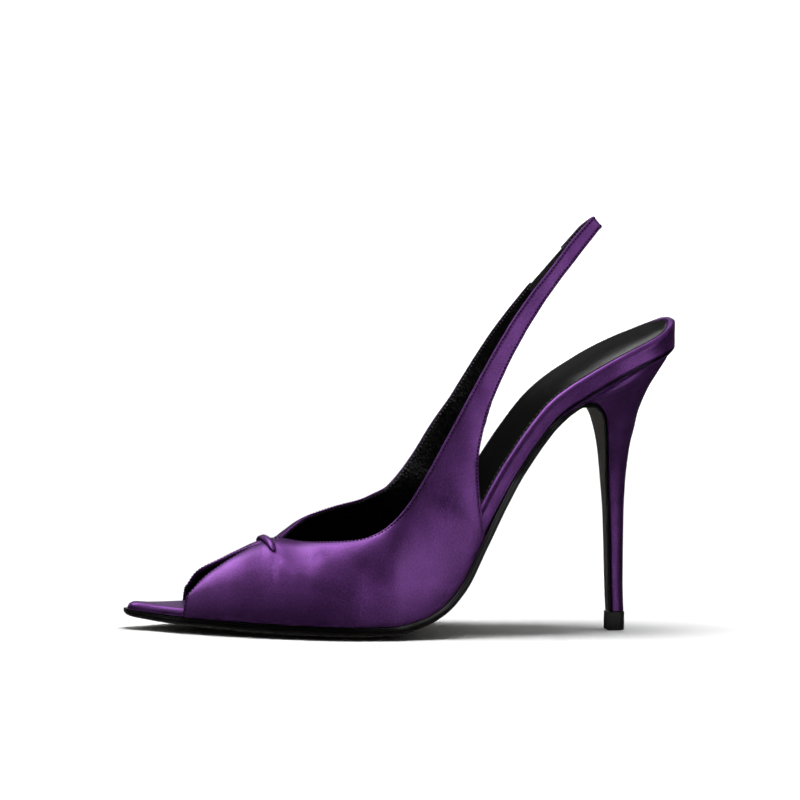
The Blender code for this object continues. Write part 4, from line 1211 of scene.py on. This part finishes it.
sock_front = [SOCK_FIRST + SOCK_FRONT_ROUND / LENGTH * (k / 14) ** 2 for k in range(14)]
sock_rest = close_stations(SOCK_FIRST, 1 - SOCK_MARGIN / LENGTH, SOCK_STATIONS)
sock_rest = [at for at in sock_rest if at > sock_front[-1] + 0.002]
sock_places = sorted({*sock_front, *sock_rest, *back_stations(SOCK_MARGIN)})
sock_rings = [sock_section(at) for at in sock_places]
settle(loft("sock_nappa", sock_rings, NAPPA), "sock", "sock_lining")

# %% The sock's stitches
SOCK_STITCHES = np.linspace(0.27, 0.982, 160)
SOCK_LIFT = 0.08 * MM


def sock_line(side):
    """The line of stitches along one side of the sock."""
    line = []
    for at in SOCK_STITCHES:
        out = sock_half(at) - SOCK_STITCH_INSET
        base = seat_point(at) + CLEARANCE * seat_normal(at)
        up = sock_height(at, out) + SOCK_LIFT
        line.append(base + board_normal(at) * up + [0, centre_line(at) + side * out, 0])
    return line


sock_lines = [sock_line(-1), sock_line(1)]
sock_sizes = STITCH_PITCH * 1.4, STITCH_LENGTH, STITCH_THICK * 0.85
settle(stitch_rows("sock_stitches", sock_lines, SOCK_THREAD, *sock_sizes), "sock")

# %% [markdown]
# ## The sole
# The outsole is a thin skin of leather. Its edge is cut square, painted black and waxed, with a groove
# under the upper, and at the seat it turns down the front of the heel as a flap. One loft follows both
# runs, so the turn under the arch has no seam.

# %% Outsole
SOLE_ACROSS = 30
SOLE_STATIONS = 150
BREAST_STEPS = 9
EDGE_GROOVE = 0.35 * MM
TIP_LIP, TIP_LIP_FADES = 0.8 * MM, 0.03
SOLE_FIRST = 0.0012
SOLE_CORNER = 0.4 * MM


def sole_section(top, normal, centre, half, edge, bulge):
    """The sole's section: a grooved, painted edge and a full underside, never lower than the floor."""
    groove = min(EDGE_GROOVE, 0.1 * half)
    corner = min(SOLE_CORNER, 0.35 * edge, 0.2 * half)
    low = half * SOLE_UNDERCUT
    pairs = [(0.0, 0.0, 0.0), (half - groove, 0.0, 1.0), (half - groove, 0.26 * edge, 1.0)]
    pairs += [(half, 0.32 * edge, 1.0), (half, 0.5 * edge, 1.0), (low, edge - corner, 0.9)]
    for i in range(1, 5):
        turn = math.pi / 2 * i / 4
        out = low - corner * (1 - math.cos(turn))
        pairs.append((out, edge - corner * (1 - math.sin(turn)) + bulge * (1 - (out / low) ** 3), 0.8))
    for i in range(1, SOLE_ACROSS // 2 + 1):
        out = (low - corner) * (1 - 2 * i / SOLE_ACROSS)
        pairs.append((out, edge + bulge * (1 - (out / low) ** 3), 0.0))
    points, paint = [], []
    for side, run in ((-1, pairs), (1, pairs[::-1])):
        for out, down, painted in run:
            point = top + [0, centre + side * out, 0] - normal * down
            points.append([point[0], point[1], max(point[2], 0.0)])
            paint.append(painted)
    return points, paint


def breast_path():
    """Rows down the breast: (top point, normal up into the heel, half width, thickness, heel's back)."""
    climb = HEEL_HEIGHT - HEEL_LOW
    rows = range(len(BREAST["at"]))
    tracks = [
        curve(rows, [along(at) for at in BREAST["at"]]),
        curve(rows, [HEEL_LOW + up * climb for up in BREAST["up"]]),
        curve(rows, [along(at) for at in BREAST["back_at"]]),
        curve(rows, [HEEL_LOW + up * climb for up in BREAST["back_up"]]),
        curve(rows, [TIP_HALF + wide * (SEAT_HALF - TIP_HALF) for wide in BREAST["wide"]]),
        curve(rows, [share * SOLE_THICKNESS for share in BREAST["sole"]]),
    ]
    path = []
    for row in np.linspace(0, len(rows) - 1, BREAST_STEPS * (len(rows) - 1) + 1):
        low, high = max(row - 0.15, 0), min(row + 0.15, len(rows) - 1)
        run_x, run_z = (tracks[k](high) - tracks[k](low) for k in (0, 1))
        normal = np.array([-run_z, 0.0, run_x]) / math.hypot(run_x, run_z)
        front_x, front_z, back_x, back_z, half, thick = (track(row) for track in tracks)
        path.append((np.array([front_x, 0, front_z]), normal, half, thick, np.array([back_x, 0, back_z])))
    return path


def sole_sections():
    """The sole's sections from the toe tip to the seat, and on down the front of the heel."""
    sections = []
    for at in close_stations(SOLE_FIRST, SOLE_LEAVES_SEAT, SOLE_STATIONS):
        half = half_width(at) + LAST_CURVES["ledge"](at) * (WALL + FEATHER_EASE + CLEARANCE)
        top = seat_point(at) - [TOE_MARGIN * max(0.0, 1 - at / TOE_MARGIN_FADES), 0, 0]
        lip = TIP_LIP * np.clip(1 - at / TIP_LIP_FADES, 0, 1)
        top = top + seat_normal(at) * lip
        edge = LAST_CURVES["sole"](at) * SOLE_THICKNESS + lip
        bulge = LAST_CURVES["bulge"](at) * TREAD_BULGE
        sections.append(sole_section(top, seat_normal(at), centre_line(at), half, edge, bulge))
    for front, normal, half, thick, _ in breast_path():
        sections.append(sole_section(front, normal, 0.0, half, thick, 0.0))
    return sections


sole_rings, sole_paint = zip(*sole_sections())
outsole = loft("outsole_leather", sole_rings, SOLE, {"painted": np.ravel(sole_paint)}, sharp=45)
settle(outsole, "outsole", "outsole")

# %% [markdown]
# ## The covered heel and its top piece
# The heel is turned from wood or moulded, then covered in satin that is stretched round it. Its section
# is a D, flat at the breast. A narrow rebate between its top edge and the rand is coloured near black,
# as painted shade. The top piece, the small rubber lift that takes the wear, is set under the satin with
# its edges rounded.

# %% Heel
HEEL_PAIRS = 40
HEEL_CORNER = 0.5 * MM
HEEL_SQUARENESS = 2.4
REBATE_HIGH, REBATE_DEEP = 1.3 * MM, 0.9 * MM
REBATE_BACK = 0.35
# The heel's swell under the seat, then the rebate's rings: shares of REBATE_HIGH and of REBATE_DEEP
SWELL_SHARES = (0.15, 0.35, 0.55, 0.75, 0.9)
REBATE_RINGS = ((1.25, 0.02), (1.1, 0.12), (1.02, 0.35), (1.0, 1.0), (0.1, 1.0))
# The last rings of the rebate are coloured near black: painted shade in the gap under the rand
SHADED_REBATE_RINGS = 3


def heel_ring(front, normal, half, back, seat_share=0.0, sunk=0.0, inset=0.0):
    """A section of the heel from breast to back and round again. seat_share is 1 on the seat line."""
    start = front + CLEARANCE * normal
    deep = np.linalg.norm(back - start)
    left, right = [], []
    for i in range(HEEL_PAIRS + 1):
        t = math.sin(math.pi / 2 * i / HEEL_PAIRS)
        flat = start + (back - start) * t
        at = 0.5 + (flat[0] - TOE_MARGIN / 2) / LENGTH
        on_seat = np.array([flat[0], 0.0, seat_height(at)])
        point = flat + (on_seat - flat) * seat_share
        point[2] -= min(sunk, 0.9 * (on_seat[2] - flat[2])) if seat_share else 0.0
        turned = 1 - np.clip(t * deep / HEEL_CORNER, 0, 1)
        corner = min(HEEL_CORNER, 0.2 * half) * (1 - math.sqrt(1 - turned**2))
        dee = half * math.sqrt(max(1 - t**HEEL_SQUARENESS, 0.0)) - corner
        outline = half_width(at) - CLEARANCE
        wide = max(dee + (outline - dee) * seat_share - inset, 0.0)
        point[0] -= REBATE_BACK * inset * t**8
        left.append(point + [0, -wide, 0])
        right.append(point + [0, wide, 0])
    return left[:-1] + [(left[-1] + right[-1]) / 2] + right[-2::-1]


def make_heel():
    """The heel from its tip up: the shaft, the swell under the seat, and the rebate with its painted shade.
    """
    path = breast_path()
    rings = [heel_ring(front, normal, half, back) for front, normal, half, _, back in reversed(path)]
    front, normal, half, _, back = path[0]
    for share in SWELL_SHARES:
        rings.append(heel_ring(front, normal, half, back, share, REBATE_HIGH * 1.5 * share))
    for sunk, inset in REBATE_RINGS:
        rings.append(heel_ring(front, normal, half, back, 1.0, REBATE_HIGH * sunk, REBATE_DEEP * inset))
    # Painted shade: the rebate's last rings get the satin's near-black recess colour
    dark = np.zeros((len(rings), len(rings[0])))
    dark[-SHADED_REBATE_RINGS:] = 1.0
    return loft("heel_satin", rings, SATIN, {"painted_recess_shade": dark.ravel()}, sharp=60)


settle(make_heel(), "heel_satin", "heel")


# %% Top piece
LIFT_BEVEL = 0.3 * MM
LIFT_LEVELS = ((0.0, 1.0), (0.3, 0.3), (1.0, 0.0))


def lift_ring(height, inset):
    """The top piece's outline at a height: square at the breast, round at the back."""
    front, _, half, thick, back = breast_path()[-1]
    first, last = front[0] - thick - TOP_PIECE_LIP + inset, back[0] + TOP_PIECE_LIP - inset
    half = half + TOP_PIECE_LIP - inset
    ring = [(first, y, height) for y in np.linspace(-half, half, 9)]
    depth = 0.45 * (last - first)
    for turn in np.linspace(0, math.pi, 41):
        ring.append((last - depth + depth * math.sin(turn), half * math.cos(turn), height))
    return ring


levels = [(LIFT_BEVEL * up, inset) for up, inset in LIFT_LEVELS]
levels += [(TOP_PIECE_HEIGHT - LIFT_BEVEL * up, inset) for up, inset in LIFT_LEVELS[::-1]]
lift_rings = [lift_ring(height, LIFT_BEVEL * inset) for height, inset in levels]
settle(loft("top_piece_rubber", lift_rings, RUBBER), "top_piece", "heel_top_piece")

# %% [markdown]
# ## The elastic
# The strap's two ends on the inner side are joined by a short elastic, so that the shoe slips on. Woven
# elastic has fine ribs across it. The ribs follow a rule, so they are part of the loft: its thickness
# rises and falls along its length. They are drawn 0.9 mm apart, about twice as coarse as real ones.

# %% Elastic
RIB_PITCH = 0.9 * MM
RIB_DEPTH = 0.14 * MM
RIB_STEPS = 6
TUCKED_IN = 2.0 * MM
EDGE_PLACES = (0, 0.04, 0.5, 0.96, 1)
EDGE_THINNING = (0.3, 1, 1, 1, 0.3)


def elastic_rings():
    """Sections of the elastic, from the quarter's end of the strap up to its back end."""
    low = medial_columns[0][-1], medial_columns[1][-1]
    high = lateral_columns[0][-1], lateral_columns[1][-1]
    run = (high[0] + high[1] - low[0] - low[1]) / 2
    length = np.linalg.norm(run)
    run = run / length
    rings = []
    for share in np.linspace(0, 1, int(length / RIB_PITCH * RIB_STEPS) + 1):
        foot, top = (low[k] + (high[k] - low[k]) * share for k in (0, 1))
        out = np.cross(top - foot, run)
        out *= np.sign(out[1]) / np.linalg.norm(out)
        rib = RIB_DEPTH * abs(math.sin(math.pi * share * length / RIB_PITCH)) - RIB_DEPTH
        half = ELASTIC_THICKNESS / 2 + rib
        shift = run * TUCKED_IN * (2 * share - 1)
        narrow = (top - foot) * ELASTIC_INSET_SHARE
        edges = [foot + narrow + (top - foot - 2 * narrow) * k for k in EDGE_PLACES]
        face, back = (
            [edge - out * (WALL / 2 + way * half * thin) + shift for edge, thin in zip(edges, EDGE_THINNING)]
            for way in (-1, 1)
        )
        rings.append(face + back[::-1])
    return rings


settle(loft("elastic_ribbed", elastic_rings(), KNIT), "elastic", "elastic_insert")

# %% [markdown]
# ## Floor, light and camera
# A pale paper floor runs far behind the shoe, so that it fills the picture. The light is a studio's: a
# small bank above throws the shadow, two wide washes keep the paper white round it, and four soft boxes
# stand where the satin mirrors them. Satin shows the whole studio in its shine, so the dark parts of
# the room matter as much: the sky is bright overhead and fades to a dim horizon.

# %% Floor
FLOOR_HALF = 40.0
FLOOR_DROP = 0.05 * MM

# Matt studio paper, near white, with a barely visible tooth
paper = relief_finish("pale_studio_paper", "#f7f7f7", "#fbfbfb", 0.85, 0.00005, 0.004)
corners = [(x * FLOOR_HALF, y * FLOOR_HALF, -FLOOR_DROP) for x, y in ((-1, -1), (1, -1), (1, 1), (-1, 1))]
floor = new_piece("paper_floor", corners, [(0, 1, 2, 3)], paper)
floor.visible_glossy = False
print("floor of", 2 * FLOOR_HALF, "m")

# %% Light
SHOE_MIDDLE = Vector((0.0, 0.0, 0.06))
# Boxes that only the shoe's shine sees. place, width and height are in metres.
SHINE_BOXES = (
    ("box_top", (-0.62, 0.6, 1.06), 1.5, 0.44, 7.2),
    ("tall_box_right", (0.74, -1.18, 0.3), 0.26, 0.85, 5.4),
    ("tall_box_left", (-1.3, -0.5, 0.6), 0.4, 1.2, 0.8),
    ("strip_behind", (0.42, 1.6, 0.27), 0.42, 0.06, 5.0),
)
WASHES = (("floor_wash_behind", 2.95, 4.4), ("floor_wash_front", -1.9, 2.6))
WASH_HIGH, WASH_WIDE, WASH_BRIGHTNESS, WASH_SPREAD = 1.2, 7.0, 1.8, 50


def soft_box(name, place, width, height, brightness, aim=SHOE_MIDDLE):
    """An area light at a place, turned to the shoe, with the same brightness whatever its size."""
    lamp = bpy.data.lights.new(name, "AREA")
    lamp.shape = "RECTANGLE"
    lamp.size, lamp.size_y = width, height
    lamp.energy = brightness * math.pi * width * height
    box = bpy.data.objects.new(name, lamp)
    box.location = place
    box.rotation_euler = (aim - Vector(place)).to_track_quat("-Z", "Y").to_euler()
    box.visible_camera = False
    bpy.context.scene.collection.objects.link(box)
    return box


above = soft_box("bank_above", (0.1, 0.0, 1.1), 0.3, 0.8, 18.5)
above.visible_glossy = False
for box_sizes in SHINE_BOXES:
    soft_box(*box_sizes).visible_diffuse = False
for wash_name, middle, deep in WASHES:
    below = Vector((0.0, middle, 0.0))
    wash = soft_box(wash_name, (0.0, middle, WASH_HIGH), WASH_WIDE, deep, WASH_BRIGHTNESS, below)
    wash.data.spread = math.radians(WASH_SPREAD)
    wash.visible_glossy = False
print("lamps:", [lamp.name for lamp in bpy.data.lights])

# %% Sky
SKY_DIM, SKY_BRIGHT = 0.008, 0.38
world = bpy.data.worlds.new("studio_room")
bpy.context.scene.world = world
world.use_nodes = True
room = world.node_tree
direction = add(room, "ShaderNodeTexCoord")
parts = add(room, "ShaderNodeSeparateXYZ", {"Vector": direction["Generated"]})
lifted = add(room, "ShaderNodeMath", {0: parts["Z"], 1: 0.0}, {"operation": "MAXIMUM"})
squared = add(room, "ShaderNodeMath", {0: lifted["Value"], 1: 2.0}, {"operation": "POWER"})
glow = add(
    room, "ShaderNodeMapRange", {"Value": squared["Value"], "To Min": SKY_DIM, "To Max": SKY_BRIGHT}
)
# The lens sees a plain white room, as behind a cut-out picture; only the shoe sees the dim horizon.
seen = add(room, "ShaderNodeLightPath")
lens_or_shoe = {"Factor": seen["Is Camera Ray"], 2: glow["Result"], 3: 1.0}
strength = add(room, "ShaderNodeMix", lens_or_shoe, {"data_type": "FLOAT"})
fill(room, room.nodes["Background"], {"Color": colour("#ffffff"), "Strength": strength[0]})
bpy.context.scene.view_settings.view_transform = "Standard"
print("sky from", SKY_DIM, "to", SKY_BRIGHT)

# %% Camera
# The shoe is seen from its outer side, a little from the front and from above, through a long lens.
AZIMUTH, ELEVATION, ROLL = math.radians(-12), math.radians(6), math.radians(1.25)
DISTANCE_AWAY = 10.0
PICTURE_WIDTH = 0.303
SEES_TO = 60.0
AIM = Vector((-0.001, 0.0, 0.0876))
flat = math.cos(ELEVATION)
back = Vector((math.sin(AZIMUTH) * flat, -math.cos(AZIMUTH) * flat, math.sin(ELEVATION)))
level = Vector((math.cos(AZIMUTH), math.sin(AZIMUTH), 0.0))
upright = back.cross(level)
right = level * math.cos(ROLL) + upright * math.sin(ROLL)
upward = upright * math.cos(ROLL) - level * math.sin(ROLL)
lens = bpy.data.cameras.new("long_lens")
lens.lens = lens.sensor_width * DISTANCE_AWAY / PICTURE_WIDTH
lens.clip_end = SEES_TO
camera = bpy.data.objects.new("camera", lens)
turned = Matrix((right, upward, back)).transposed().to_4x4()
camera.matrix_world = Matrix.Translation(AIM + back * DISTANCE_AWAY) @ turned
bpy.context.scene.collection.objects.link(camera)
bpy.context.scene.camera = camera
print("lens of", round(lens.lens), "mm")
